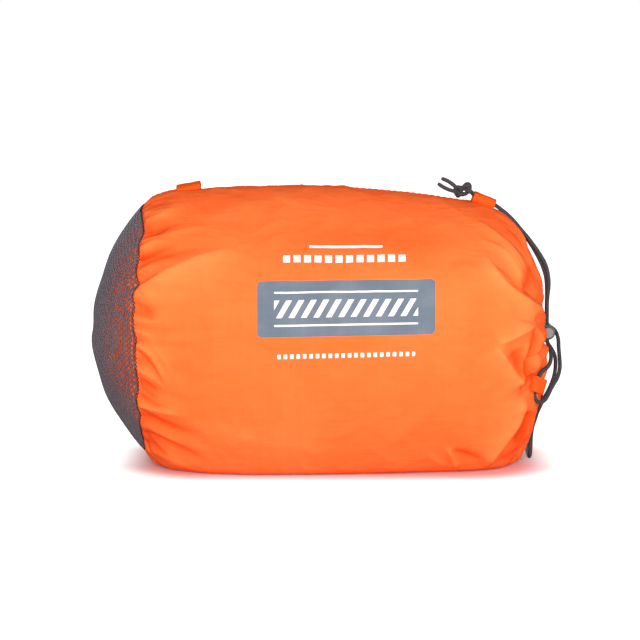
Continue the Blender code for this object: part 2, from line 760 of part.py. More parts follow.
def build_knot(finish):
    """The overhand knot's outer shape: a ball with the wraps standing out."""
    mesh = bpy.data.meshes.new("drawcord_knot")
    shape = bmesh.new()
    bmesh.ops.create_uvsphere(shape, u_segments=knot_sides, v_segments=knot_rows, radius=0.5)
    for v in shape.verts:
        turn = np.arctan2(v.co.z, v.co.y)
        swell = 1 + knot_ridge / knot_size[2] * 2 * cos(knot_ridges * turn + knot_twist * v.co.x)
        v.co = Vector((v.co.x * knot_size[0], v.co.y * knot_size[1] * swell, v.co.z * knot_size[2] * swell))
    shape.to_mesh(mesh)
    shape.free()
    mesh.shade_smooth()
    knot = add_object("drawcord_knot", mesh, finish)
    knot.location = knot_centre


clear_scene()
parts = collection("bothy_bag")
cutters = collection("cutters")

orange = material("orange_ripstop", (1.0, 0.205, 0.035), 0.55)
orange_tape = material("orange_tape", (0.93, 0.13, 0.02), 0.6)
grey_net = material("grey_net", (0.07, 0.065, 0.08), 0.7)
dark_cord = material("dark_cord", (0.045, 0.04, 0.047), 0.75)
black_plastic = material("black_plastic", (0.03, 0.03, 0.035), 0.35)
grey_plastic = material("grey_plastic", (0.33, 0.34, 0.36), 0.3)
steel = material("spring_steel", (0.6, 0.6, 0.6), 0.3, 1.0)
clear_film = material("clear_film", (0.75, 0.8, 0.82), 0.15)

build_sack(orange)
build_net(grey_net)
build_net_tape(grey_net)
build_top_seam(orange_tape)
tape_loop("rear_tab", rear_tab_spread, rear_tab_height, rear_tab_width,
          seam_tab_place(rear_tab_x, seam_gap + seam_height), orange_tape)
tape_loop("mouth_top_tab", top_tab_spread, top_tab_height, top_tab_width,
          seam_tab_place(top_tab_x, top_tab_lift, top_tab_lean), orange_tape)
tape_loop("mouth_side_tab", side_tab_length, side_tab_height, side_tab_width,
          side_tab_place(), orange_tape)
build_hem(orange)
build_channel_cord(dark_cord)
build_lock(black_plastic, grey_plastic, steel)
build_canopy(orange)
build_packed(orange_tape, clear_film, grey_net)
build_knot(dark_cord)
tube("cord_tail_upper", upper_tail, cord_radius, dark_cord)
tube("cord_tail_lower", lower_tail, cord_radius, dark_cord)
tube("cord_run_front", front_route, cord_radius, dark_cord)
tube("cord_run_back", back_route, cord_radius, dark_cord)
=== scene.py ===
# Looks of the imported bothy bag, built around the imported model. Metres, +Z up, -Y towards the camera.
from math import cos, pi, radians, sin, sqrt

import bmesh
import bpy
import numpy as np
from mathutils import Matrix, Vector


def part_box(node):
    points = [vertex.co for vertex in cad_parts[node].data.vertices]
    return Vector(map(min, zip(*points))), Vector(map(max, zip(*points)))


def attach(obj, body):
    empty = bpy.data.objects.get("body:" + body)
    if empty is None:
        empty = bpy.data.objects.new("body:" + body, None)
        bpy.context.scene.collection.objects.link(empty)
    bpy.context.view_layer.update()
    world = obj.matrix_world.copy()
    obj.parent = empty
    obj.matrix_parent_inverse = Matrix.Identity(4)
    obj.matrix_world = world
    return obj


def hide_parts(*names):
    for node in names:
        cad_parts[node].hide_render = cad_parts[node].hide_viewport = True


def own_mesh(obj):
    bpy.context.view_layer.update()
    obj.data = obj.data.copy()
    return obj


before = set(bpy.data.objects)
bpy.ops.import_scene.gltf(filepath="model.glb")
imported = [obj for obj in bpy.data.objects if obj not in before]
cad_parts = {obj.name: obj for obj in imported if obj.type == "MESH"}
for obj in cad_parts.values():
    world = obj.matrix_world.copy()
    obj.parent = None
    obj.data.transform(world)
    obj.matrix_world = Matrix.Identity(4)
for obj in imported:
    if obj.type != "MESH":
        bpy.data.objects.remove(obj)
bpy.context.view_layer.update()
scene = bpy.context.scene
rng = np.random.default_rng(11)


# Camera

cameraSet = {"aim": (-0.0008, 0.0, 0.0769), "distance": 1.25, "elevation": 6.5, "lens": 127.8,
             "sensor": 36.0, "picture": 640, "near": 0.05, "far": 30}


def cameraAxes():
    tilt = radians(cameraSet["elevation"])
    forward = np.array([0.0, cos(tilt), -sin(tilt)])
    place = np.array(cameraSet["aim"]) - forward * cameraSet["distance"]
    return place, np.array([1.0, 0.0, 0.0]), np.array([0.0, sin(tilt), cos(tilt)]), forward


def addCamera():
    place, right, up, forward = cameraAxes()
    data = bpy.data.cameras.new("photoCamera")
    data.lens, data.sensor_width = cameraSet["lens"], cameraSet["sensor"]
    data.clip_start, data.clip_end = cameraSet["near"], cameraSet["far"]
    made = bpy.data.objects.new("photoCamera", data)
    scene.collection.objects.link(made)
    made.matrix_world = Matrix.Translation(place) @ Matrix((right, up, -forward)).transposed().to_4x4()
    scene.camera = made


def toPhoto(points):
    # where points of the model fall in the photograph's 640 by 640 frame
    place, right, up, forward = cameraAxes()
    ahead = (points - place) @ forward
    zoom = cameraSet["picture"] * cameraSet["lens"] / cameraSet["sensor"] / ahead
    half = cameraSet["picture"] / 2
    return np.stack([half + (points - place) @ right * zoom, half - (points - place) @ up * zoom], axis=-1)


addCamera()


# Lines and noise

def inMetres(rows):
    return np.array(rows) / 1000


def runAlong(points):
    return np.concatenate([[0], np.cumsum(np.linalg.norm(np.diff(points, axis=0), axis=1))])


def lineLength(line):
    return float(runAlong(line)[-1])


def hermite(at, rows, place):
    # values of a smooth curve through rows that stand at the places in at
    slopes = np.gradient(rows, at, axis=0)
    place = np.asarray(place, float)
    k = np.clip(np.searchsorted(at, place) - 1, 0, len(at) - 2)
    span = (at[k + 1] - at[k])[..., None]
    t = (place - at[k])[..., None] / span
    return ((2 * t**3 - 3 * t**2 + 1) * rows[k] + (t**3 - 2 * t**2 + t) * span * slopes[k]
            + (3 * t**2 - 2 * t**3) * rows[k + 1] + (t**3 - t**2) * span * slopes[k + 1])


def smoothLine(points, step):
    # points of a smooth curve through the route, about step apart
    rows = np.array(points, float)
    at = runAlong(rows)
    return hermite(at, rows, np.linspace(0, at[-1], max(3, int(round(at[-1] / step)) + 1)))


def smoothStep(low, high, value):
    t = np.clip((value - low) / (high - low), 0, 1)
    return t * t * (3 - 2 * t)


def flowNoise(u, v, cells, seed):
    # smooth noise from about -1 to 1 over u and v from 0 to 1; it repeats along u
    turn = np.random.default_rng(seed).uniform(0, 2 * pi, (cells[0], cells[1] + 2))
    a, b = np.asarray(u) * cells[0], np.asarray(v) * cells[1]
    i, j = np.floor(a).astype(int), np.floor(b).astype(int)
    f, g = a - i, b - j
    fadeF, fadeG = f**3 * (f * (6 * f - 15) + 10), g**3 * (g * (6 * g - 15) + 10)
    total = 0.0
    for di in (0, 1):
        for dj in (0, 1):
            t = turn[(i + di) % cells[0], np.clip(j + dj, 0, cells[1] + 1)]
            share = (fadeF if di else 1 - fadeF) * (fadeG if dj else 1 - fadeG)
            total = total + share * (np.cos(t) * (f - di) + np.sin(t) * (g - dj))
    return total * 1.5


def creaseNoise(u, v, cells, seed, width):
    # 1 on thin wandering crests, falling to 0 between them
    return np.clip(1 - np.abs(flowNoise(u, v, cells, seed)) / width, 0, 1) ** 1.5


def bluntWave(wave, power):
    # a sine or cosine with its crests squared off
    return np.sign(wave) * np.abs(wave) ** power


# Mesh helpers

def gridNormals(points):
    # outward directions of a grid of rows of points whose columns close on themselves
    around = np.roll(points, -1, axis=1) - np.roll(points, 1, axis=1)
    normals = np.cross(around, np.gradient(points, axis=0))
    return normals / np.maximum(np.linalg.norm(normals, axis=2), 1e-12)[..., None]


def gridFaces(rows, columns, ring=False):
    # quads of a grid whose columns close on themselves; a ring also joins its last row to its first
    r, c = np.meshgrid(np.arange(rows if ring else rows - 1), np.arange(columns), indexing="ij")
    nextR, nextC = (r + 1) % rows, (c + 1) % columns
    quads = np.stack([r * columns + c, r * columns + nextC, nextR * columns + nextC, nextR * columns + c],
                     axis=-1)
    return quads.reshape(-1, 4).tolist()


def linkMesh(name, mesh):
    made = bpy.data.objects.new(name, mesh)
    scene.collection.objects.link(made)
    return made


def addMesh(name, points, faces, material, smooth=True, sharp=None):
    mesh = bpy.data.meshes.new(name)
    mesh.from_pydata([tuple(p) for p in points], [], faces)
    if smooth:
        mesh.shade_smooth()
    if sharp:
        mesh.set_sharp_from_angle(angle=radians(sharp))
    mesh.materials.append(material)
    return linkMesh(name, mesh)


def turnOutward(made):
    bm = bmesh.new()
    bm.from_mesh(made.data)
    bmesh.ops.recalc_face_normals(bm, faces=bm.faces)
    bm.to_mesh(made.data)
    bm.free()


def setUv(made, values, name="UVMap"):
    # values holds one pair for each face corner
    layer = made.data.uv_layers.new(name=name)
    layer.data.foreach_set("uv", np.asarray(values, np.float32).ravel())


def setRoundUv(made, rows, columns, pair):
    # pair gives a corner's UV from its row and its share of the way round, which runs past 1 in the faces
    # that close the round; points after the grid are the poles of its first and last row
    count = rows * columns
    uv = []
    for polygon in made.data.polygons:
        columnsHere = [v % columns for v in polygon.vertices if v < count]
        wraps = max(columnsHere) - min(columnsHere) > columns / 2
        for v in polygon.vertices:
            onGrid = v < count
            row = v // columns if onGrid else (v - count) * (rows - 1)
            column = v % columns if onGrid else columnsHere[0]
            if wraps and column < columns / 2:
                column += columns
            uv.append(pair(row, column / columns))
    setUv(made, uv)


def flatUv(rows, size):
    # UV in metres for a skin of so many rows, from its size round and along when it lies flat
    return lambda row, share: (share * size[0], row / rows * size[1])


def closedSkin(name, rings, material, pair):
    # a closed skin through rings of points, with a pole at either end
    rows, columns = rings.shape[:2]
    count = rows * columns
    faces = gridFaces(rows, columns)
    for j in range(columns):
        following = (j + 1) % columns
        faces += [(count, following, j), (count + 1, count - columns + j, count - columns + following)]
    points = np.concatenate([rings.reshape(-1, 3), rings[:1].mean(axis=1), rings[-1:].mean(axis=1)])
    made = addMesh(name, points, faces, material)
    turnOutward(made)
    setRoundUv(made, rows, columns, pair)
    return made


def ringSkin(name, rings, material, pair, sharp=None):
    # a skin through rings of points whose last one joins the first
    rows, columns = rings.shape[:2]
    made = addMesh(name, rings.reshape(-1, 3), gridFaces(rows, columns, ring=True), material, sharp=sharp)
    turnOutward(made)
    setRoundUv(made, rows, columns, pair)
    return made


def tubeFrames(line):
    # two cross axes that turn as little as they can along the line
    tangents = np.gradient(line, axis=0)
    tangents /= np.linalg.norm(tangents, axis=1)[:, None]
    side = np.cross(tangents[0], [0.0, 0.0, 1.0])
    if np.linalg.norm(side) < 0.2:
        side = np.cross(tangents[0], [0.0, 1.0, 0.0])
    sides = []
    for t in tangents:
        side = side - t * (side @ t)
        side = side / np.linalg.norm(side)
        sides.append(side)
    return np.array(sides), np.cross(tangents, sides)


def addTube(name, line, radius, material, sides, radii=None):
    # a closed tube with a UV map in metres: along it, and round it
    across, up = tubeFrames(line)
    angles = 2 * pi * np.arange(sides) / sides
    size = np.full(len(line), radius) if radii is None else radii
    ring = np.cos(angles)[None, :, None] * across[:, None] + np.sin(angles)[None, :, None] * up[:, None]
    along = runAlong(line)
    return closedSkin(name, line[:, None] + ring * size[:, None, None], material,
                      lambda row, share: (along[row], share * 2 * pi * radius))


# Shader helpers

class Value:
    # a node's output that sums, products and steps can be written with
    def __init__(self, shade, socket):
        self.shade, self.socket = shade, socket

    def make(self, operation, *others):
        return self.shade.node("ShaderNodeMath", {"operation": operation}, [self, *others])

    def __add__(self, other):
        return self.make("ADD", other)

    def __sub__(self, other):
        return self.make("SUBTRACT", other)

    def __mul__(self, other):
        return self.make("MULTIPLY", other)

    def __truediv__(self, other):
        return self.make("DIVIDE", other)

    def __radd__(self, other):
        return self.make("ADD", other)

    def __rsub__(self, other):
        return self.shade.node("ShaderNodeMath", {"operation": "SUBTRACT"}, [other, self])

    def __abs__(self):
        return self.make("ABSOLUTE")

    def sin(self):
        return self.make("SINE")

    def floor(self):
        return self.make("FLOOR")

    def fract(self):
        return self.make("FRACT")

    def max(self, other):
        return self.make("MAXIMUM", other)

    def root(self):
        return self.make("SQRT")

    def step(self, low, high):
        return self.shade.node("ShaderNodeMapRange", {"interpolation_type": "SMOOTHSTEP"},
                               [self, low, high, 0.0, 1.0])


class Tree:
    # nodes of a shader or of a geometry tree
    def __init__(self, tree):
        self.tree = tree

    def node(self, kind, settings=(), values=(), out=0):
        made = self.tree.nodes.new(kind)
        for key, value in dict(settings).items():
            setattr(made, key, value)
        pairs = values.items() if isinstance(values, dict) else enumerate(values)
        for key, value in pairs:
            if isinstance(value, Value):
                self.tree.links.new(value.socket, made.inputs[key])
            elif value is not None:
                made.inputs[key].default_value = value
        return Value(self, made.outputs[out]) if made.outputs else None


class Shade(Tree):
    # one material's nodes
    def __init__(self, name, colour, roughness, metallic=0.0, **more):
        self.material = bpy.data.materials.new(name)
        self.material.use_nodes = True
        super().__init__(self.material.node_tree)
        self.surface = self.tree.nodes["Principled BSDF"]
        self.set("Base Color", (*colour, 1.0))
        self.set("Roughness", roughness)
        self.set("Metallic", metallic)
        for key, value in more.items():
            self.set(key.replace("_", " "), value)

    def set(self, name, value):
        if isinstance(value, Value):
            self.tree.links.new(value.socket, self.surface.inputs[name])
        else:
            self.surface.inputs[name].default_value = value

    def finish(self, colour, roughness, height=None, distance=0.0, strength=1.0):
        self.set("Base Color", colour)
        self.set("Roughness", roughness)
        if height:
            self.set("Normal", self.node("ShaderNodeBump", (), {"Height": height, "Distance": distance,
                                                                "Strength": strength}))
        return self.material

    def split(self, vector):
        parts = self.node("ShaderNodeSeparateXYZ", (), [vector]).socket.node.outputs
        return [Value(self, parts[k]) for k in range(3)]

    def join(self, x, y):
        return self.node("ShaderNodeCombineXYZ", (), [x, y, 0.0])

    def place(self):
        return self.node("ShaderNodeTexCoord", out="Object")

    def uv(self):
        return self.node("ShaderNodeTexCoord", out="UV")

    def attribute(self, name):
        return self.node("ShaderNodeAttribute", {"attribute_name": name}, out="Fac")

    def noise(self, where, size, detail=3.0, rough=0.5, distortion=0.0):
        return self.node("ShaderNodeTexNoise", (), {"Vector": where, "Scale": 1 / size, "Detail": detail,
                                                    "Roughness": rough, "Distortion": distortion}, out="Fac")

    def mix(self, share, a, b):
        a, b = [(*c, 1.0) if isinstance(c, tuple) and len(c) == 3 else c for c in (a, b)]
        return self.node("ShaderNodeMix", {"data_type": "RGBA", "blend_type": "MIX", "clamp_factor": True},
                         {0: share, 6: a, 7: b}, out=2)


def tinted(colour, share):
    return tuple(c * share for c in colour)


def weaveHeight(u, v, pitch):
    # plain weave: threads over and under one another
    over = abs((u * (pi / pitch)).sin())
    under = abs((v * (pi / pitch)).sin())
    turn = ((u / pitch).floor() + (v / pitch).floor()) * 0.5
    check = turn.fract() * 2.0
    return over * check + under * (1.0 - check)


def gridLines(u, v, pitch, width):
    # 1 on thin lines that cross at every pitch
    lineU, lineV = (abs((way / pitch).fract() - 0.5).step(0.5 - width / pitch, 0.5) for way in (u, v))
    return lineU.max(lineV)


def roundedBox(x, y, centre, half, corner):
    # distance outside a rounded rectangle, in the units of x and y
    dx, dy = ((abs(way - middle) - (reach - corner)).max(0.0)
              for way, middle, reach in zip((x, y), centre, half))
    return (dx * dx + dy * dy).root() - corner


# Finishes

# the cloth's crease and crest colours are painted fold shade and painted highlight; its deep orange is random
# tone and also painted crease shade
finishSet = {"orange": (1.0, 0.166, 0.040), "orangeDeepToneAndShade": (1.0, 0.118, 0.020),
             "orangePaintedShade": (1.0, 0.060, 0.006), "orangePaintedHighlight": (1.0, 0.27, 0.075),
             "orangeGrid": (1.0, 0.27, 0.07), "tape": (1.0, 0.120, 0.016), "seamTape": (0.92, 0.120, 0.018),
             "padCloth": (0.42, 0.060, 0.010), "seamThread": (0.92, 0.100, 0.016),
             "greyThread": (0.050, 0.034, 0.038), "net": (0.095, 0.085, 0.104), "cord": (0.036, 0.032, 0.038),
             # the cord's pale fleck colour serves random flecks and painted highlight on the braid's strands
             "cordFleckAndHighlight": (0.085, 0.078, 0.088), "slate": (0.134, 0.167, 0.206),
             "slateFaded": (0.225, 0.262, 0.300), "white": (0.90, 0.90, 0.89), "shell": (0.030, 0.029, 0.033),
             # the button's pale grey is partly a painted highlight on its face
             "button": (0.13, 0.135, 0.145)}

ripstopLook = {"ripPitch": 0.005, "ripWidth": 0.0005, "thread": 0.00032, "broad": 0.050, "fine": 0.0045,
               "deep": 0.35, "deepAt": (0.35, 0.68), "gridShade": 0.07, "fineShade": 0.10,
               "ruck": 0.016, "ruckWidth": 0.10, "ruckShade": 0.22, "ruckSlack": 0.45,
               # shares of painted shade in the fold hollows and of painted highlight on the fold crests
               "paintedFoldShading": 0.85, "crest": 0.75, "worn": 0.0022, "wornAt": (0.30, 0.42),
               "faded": 0.016, "fadedAt": (0.40, 0.66), "fadedShade": 0.28,
               "rough": 0.52, "fineRough": 0.10, "inkSmooth": 0.06,
               "heights": {"weave": 0.12, "grid": 0.26, "fine": 0.22, "ruck": 1.6, "ink": 0.25},
               "bump": 0.00012, "bumpShare": 0.55}

# the print in millimetres from the patch's upper left corner, and the patch's corners in the photograph
patchSet = {
    "corners": ((256.8, 281.5), (434.6, 279.3), (435.6, 334.3), (257.2, 338.0)), "size": (91.6, 28.3),
    "corner": 2.6, "soft": 0.14,
    "band": {"centre": (45.8, 14.2), "half": (37.0, 4.4), "corner": 0.3, "slant": 0.6, "pitch": 6.4,
             "low": 0.21, "high": 0.25},
    "rows": ({"centre": (45.8, 5.9), "half": (37.0, 0.45), "corner": 0.4, "pitch": 0, "mark": 0},
             {"centre": (45.8, 22.5), "half": (37.0, 0.45), "corner": 0.4, "pitch": 0, "mark": 0},
             {"centre": (45.8, -11.0), "half": (32.4, 1.9), "corner": 0.6, "pitch": 5.4, "mark": 3.6},
             {"centre": (45.8, -17.5), "half": (18.9, 0.7), "corner": 0.5, "pitch": 0, "mark": 0},
             {"centre": (45.8, 38.0), "half": (35.4, 1.1), "corner": 0.5, "pitch": 3.3, "mark": 1.8}),
}


def printMasks(shade):
    # a slate patch, and the white marks on it and on the bare cloth
    x, y, _ = shade.split(shade.node("ShaderNodeUVMap", {"uv_map": "print"}))
    middle, soft, band = tinted(patchSet["size"], 0.5), patchSet["soft"], patchSet["band"]
    ink = roundedBox(x, y, middle, middle, patchSet["corner"]).step(soft, -soft)
    inBand = roundedBox(x, y, band["centre"], band["half"], band["corner"]).step(soft, -soft)
    slant = ((x + y * band["slant"]) / band["pitch"]).fract()
    white = abs(slant - 0.5).step(band["high"], band["low"]) * inBand
    for row in patchSet["rows"]:
        inRow = roundedBox(x, y, row["centre"], row["half"], row["corner"]).step(soft, -soft)
        if row["pitch"]:
            left = row["centre"][0] - row["half"][0]
            place = ((x - left) / row["pitch"]).fract()
            inRow = inRow * (place * row["pitch"]).step(row["mark"] + soft, row["mark"] - soft)
        white = white.max(inRow)
    return ink, white


def orangeCloth(name, printed):
    # coated ripstop nylon: fine weave, a raised grid of thicker threads, painted shade in crumple creases;
    # where asked for, the print and painted fold shade and highlight
    f, look = finishSet, ripstopLook
    heights = look["heights"]
    shade = Shade(name, f["orange"], 0.56, Specular_IOR_Level=0.0)
    u, v, _ = shade.split(shade.uv())
    where = shade.place()
    broad = shade.noise(where, look["broad"], 2.0)
    fine = shade.noise(where, look["fine"])
    grid = gridLines(u, v, look["ripPitch"], look["ripWidth"])
    colour = shade.mix(broad.step(*look["deepAt"]) * look["deep"], f["orange"], f["orangeDeepToneAndShade"])
    colour = shade.mix(grid * look["gridShade"] + (fine - 0.5) * look["fineShade"], colour, f["orangeGrid"])
    height = (weaveHeight(u, v, look["thread"]) * heights["weave"] + grid * heights["grid"]
              + fine * heights["fine"])
    slack = shade.join(u, v * look["ruckSlack"])
    ruck = abs(shade.noise(slack, look["ruck"], 4.0, 0.55, 0.6) - 0.5).step(0.0, look["ruckWidth"])
    # painted shade along the crumple's sunken creases
    colour = shade.mix((1.0 - ruck) * look["ruckShade"], colour, f["orangeDeepToneAndShade"])
    height = height + ruck * heights["ruck"]
    roughness = look["rough"] + fine * look["fineRough"]
    if printed:
        # painted shade in the folds' hollows and painted highlight on their crests
        paintedFoldShading = shade.attribute("paintedFoldShading")
        colour = shade.mix(paintedFoldShading.max(0.0) * look["paintedFoldShading"], colour, f["orangePaintedShade"])
        colour = shade.mix((paintedFoldShading * -look["crest"]).max(0.0), colour, f["orangePaintedHighlight"])
        ink, white = printMasks(shade)
        worn = shade.noise(where, look["worn"], 4.0, 0.7).step(*look["wornAt"])
        faded = shade.noise(where, look["faded"]).step(*look["fadedAt"])
        slate = shade.mix(faded * look["fadedShade"] + grid * look["gridShade"], f["slate"], f["slateFaded"])
        colour = shade.mix(ink, colour, slate)
        colour = shade.mix(white * (0.90 + worn * 0.10), colour, f["white"])
        roughness = roughness - ink.max(white) * look["inkSmooth"]
        height = height + ink.max(white) * heights["ink"]
    return shade.finish(colour, roughness, height, look["bump"], look["bumpShare"])


tapeLook = {"mottle": 0.0016, "weaveShade": 0.55, "mottleShade": 0.35, "dark": 0.72, "bump": 0.00022}
cordLook = {"lay": 0.0017, "turn": 0.00173, "fibre": 0.00045, "shine": 0.12, "bump": 0.00025}
yarnLook = {"mottle": 0.0011, "broad": 0.020, "dark": 0.62, "pale": 1.25, "bump": 0.00015}
plasticLook = {"grain": 0.00035, "rub": 0.0030, "rubbed": (0.52, 0.72), "rubShade": 0.35, "paler": 1.5,
               "bump": 0.00003}


def tapeCloth(name, colour, pitch, rough):
    # woven tape: coarser threads in a close weave, with painted shade where the weave dips between threads
    look = tapeLook
    shade = Shade(name, colour, rough, Specular_IOR_Level=0.0)
    u, v, _ = shade.split(shade.uv())
    weave = weaveHeight(u, v, pitch)
    mottle = shade.noise(shade.place(), look["mottle"])
    # darker where the weave dips between threads, as painted shade; the mottle is random tone
    tone = shade.mix(weave * look["weaveShade"] + mottle * look["mottleShade"], tinted(colour, look["dark"]),
                     colour)
    return shade.finish(tone, rough + mottle * 0.12, weave, look["bump"], 0.8)


def braidedCord(name):
    # eight strands braided round a core; paler on the strands and darker between them as painted highlight
    # and shade
    look = cordLook
    shade = Shade(name, finishSet["cord"], 0.62, Specular_IOR_Level=look["shine"])
    u, v, _ = shade.split(shade.uv())
    lay, turn = u / look["lay"], v / look["turn"]
    braid = weaveHeight(lay + turn, lay - turn, 1.0)
    fibre = shade.noise(shade.place(), look["fibre"], 2.0)
    # lighter on the braid's raised strands as painted highlight, with random fibre flecks
    tone = shade.mix(braid * 0.55 + (fibre - 0.5) * 0.5, finishSet["cord"], finishSet["cordFleckAndHighlight"])
    return shade.finish(tone, 0.55 + fibre * 0.2, braid + fibre * 0.2, look["bump"], 0.8)


def netYarn(name):
    # matt polyester yarn, slightly uneven in tone
    net, look = finishSet["net"], yarnLook
    shade = Shade(name, net, 0.72, Sheen_Weight=0.12, Sheen_Roughness=0.4)
    mottle = shade.noise(shade.place(), look["mottle"])
    broad = shade.noise(shade.place(), look["broad"], 2.0)
    tone = shade.mix(mottle * 0.6 + broad * 0.4, tinted(net, look["dark"]), tinted(net, look["pale"]))
    return shade.finish(tone, 0.66 + mottle * 0.14, mottle, look["bump"], 0.6)


def mouldedPlastic(name, colour, rough):
    # fine grain, with paler rubbed spots
    look = plasticLook
    shade = Shade(name, colour, rough, Coat_Roughness=0.3)
    grain = shade.noise(shade.place(), look["grain"])
    rub = shade.noise(shade.place(), look["rub"], 4.0).step(*look["rubbed"])
    tone = shade.mix(rub * look["rubShade"], colour, tuple(c * look["paler"] + 0.02 for c in colour))
    return shade.finish(tone, rough + rub * 0.16 + (grain - 0.5) * 0.08, grain, look["bump"], 0.5)


def springSteel(name):
    # drawn wire, streaked a little
    shade = Shade(name, (0.62, 0.61, 0.60), 0.28, 1.0)
    drawn = shade.noise(shade.place(), 0.0006)
    return shade.finish(shade.mix(drawn, (0.50, 0.49, 0.48), (0.68, 0.67, 0.66)), 0.22 + drawn * 0.16)


def clearFilm(name):
    # matt vinyl, rolled tight, so it looks milky
    shade = Shade(name, (0.74, 0.79, 0.80), 0.18, Coat_Roughness=0.1)
    cloud = shade.noise(shade.place(), 0.006)
    return shade.finish(shade.mix(cloud, (0.66, 0.72, 0.74), (0.80, 0.84, 0.85)), 0.14 + cloud * 0.14)


sackCloth = orangeCloth("orangeRipstopPrinted", True)
plainCloth = orangeCloth("orangeRipstop", False)
tapeFinish = tapeCloth("orangeTape", finishSet["tape"], 0.0007, 0.6)
padCloth = tapeCloth("seatPanelCloth", finishSet["padCloth"], 0.0006, 0.62)
seamTapeFinish = tapeCloth("netSeamTape", finishSet["seamTape"], 0.0007, 0.6)
orangeThread = tapeCloth("orangeThread", finishSet["seamThread"], 0.0003, 0.5)
greyThread = tapeCloth("greyThread", finishSet["greyThread"], 0.0003, 0.6)
cordFinish = braidedCord("braidedCord")
netFinish = netYarn("netYarn")
shellFinish = mouldedPlastic("lockShell", finishSet["shell"], 0.42)
# the button's pale grey is partly a painted highlight on its face
buttonFinish = mouldedPlastic("lockButton", finishSet["button"], 0.38)
springFinish = springSteel("springSteel")
filmFinish = clearFilm("windowFilm")
print("finishes made")


# Drawcord: two free runs from the channel round the mouth, through the lock and the top tab to the knot

# routes and tails in millimetres
cordSet = {
    "radius": 0.0011, "step": 0.0009, "sides": 12,
    "frontRoute": (
        (115.75, 9.85, 77.34), (116.38, 11.03, 75.3), (118.1, 11.89, 73.82), (120.04, 12.25, 73.25),
        (122.4, 12.6, 73.1), (126.1, 12.7, 72.4), (129.4, 10.8, 70.1), (130.8, 5.6, 66.4),
        (130.6, -0.8, 61.7), (130.4, -7.5, 57.2), (129.9, -15, 53.2), (128.4, -23, 50.1),
        (126.4, -30, 47.9), (124.3, -35.2, 46), (122.4, -39.2, 43.8), (120.9, -41.9, 41.5),
        (119.33, -43.77, 39.38), (117.22, -45.34, 38.08), (115.23, -46.88, 38.34), (113.64, -48.16, 39.84),
        (112.83, -48.87, 42.56), (113.15, -48.7, 45.1), (114.3, -47.9, 48.6), (115.45, -47, 51.8),
        (116.6, -45.6, 53.7), (118.3, -42.5, 54.8), (120.2, -37.4, 55.2), (121.9, -31.2, 55.5),
        (123.3, -24.8, 56), (124.5, -18, 56.9), (125.4, -11, 58.5), (125.5, -5, 61.1), (124.5, -1.8, 64.2),
        (123.9, -1.3, 67), (123.9, -1.3, 72), (123.9, -1.3, 77), (123.9, -1.3, 82), (123.9, -1.3, 87),
        (124.2, -1.3, 91), (124.7, -1.3, 96), (124.3, -1.4, 101.8), (122.8, -1.5, 107.5),
        (119.8, -1.6, 113), (116, -1.7, 118.5), (112.6, -1.7, 122.9), (108.8, -1.7, 127.3),
        (105, -1.7, 131.8), (101.8, -1.6, 134.9), (98.8, -1.6, 137.4), (95.9, -1.5, 139.6),
        (92.7, -1.5, 141.4), (88.9, -1.5, 143.2), (85.4, -1.5, 144.85), (83.2, -1.6, 145.75)),
    "backRoute": (
        (115.75, 9.85, 66.66), (116.24, 11.38, 68.5), (117.56, 13.21, 69.45), (119.37, 14.83, 69.27),
        (121, 16.1, 68), (121.9, 17.4, 66.3), (122.4, 19.8, 62.3), (122.7, 23.2, 56.2), (123.2, 27.2, 48.2),
        (124.3, 30.5, 39.7), (124.6, 32.5, 31), (122.4, 33.5, 20), (119.6, 33.2, 11), (117.6, 31.5, 4.5),
        (116.5, 28.5, 1.7), (116, 23.5, 1.25), (115.6, 17, 1.2), (115.3, 10, 1.2), (115.1, 3.5, 1.2),
        (115, -1.8, 1.35), (115, -5.5, 3.2), (115.1, -7.3, 7), (115.3, -6.6, 11.2), (115.8, -4.2, 15),
        (116.9, -1.2, 18.8), (118.5, 1.6, 22.8), (120.7, 3.6, 27.4), (123.4, 4.5, 32.8), (126.5, 5.2, 38.6),
        (128.9, 5.5, 45.2), (129.6, 5.2, 51.2), (128.9, 4, 57), (126.6, 2.5, 61.3), (124.6, 1.6, 64.3),
        (123.9, 1.3, 67), (123.9, 1.3, 72), (123.9, 1.3, 77), (123.9, 1.3, 82), (123.9, 1.3, 86.5),
        (124, 1.5, 90.5), (123.9, 1.8, 95), (123.5, 2.1, 99.8), (121.9, 2.5, 105.6), (119.2, 2.9, 111.4),
        (115.6, 3.2, 117.6), (112, 3.4, 123), (108.5, 3.3, 127.8), (104.9, 2.9, 131.9), (101.8, 2.2, 135),
        (98.8, 1.7, 137.4), (95.9, 1.5, 139.6), (92.7, 1.5, 141.4), (88.9, 1.5, 143.2), (85.4, 1.5, 144.85),
        (83.25, 1.6, 145.75)),
    "upperTail": (
        (72.9, 1.4, 150.5), (70.8, 1.7, 152.2), (68.2, 1.8, 153.7), (65.6, 1.6, 154.7)),
    "lowerTail": (
        (72.4, -1.6, 147.8), (70.2, -2.4, 148.5), (67.8, -2.8, 149.5), (65.4, -2.6, 150.8),
        (63.6, -2, 152.1)),
    "knotCentre": (0.0776, 0.0, 0.1484), "knotHalf": (0.0036, 0.0029, 0.0026), "knotApart": 0.0018,
    "knotTurn": 20.0, "knotPoints": 24, "knotStep": 0.00063,
    "tipShrink": 0.30, "tipReach": 0.0006,    # the fused tip draws in
}


def joinMeshes(name, made):
    # one object from several meshes that share their material
    bm = bmesh.new()
    for piece in made:
        bm.from_mesh(piece.data)
    mesh = bpy.data.meshes.new(name)
    bm.to_mesh(mesh)
    bm.free()
    mesh.materials.append(made[0].data.materials[0])
    for piece in made:
        bpy.data.objects.remove(piece)
    return linkMesh(name, mesh)


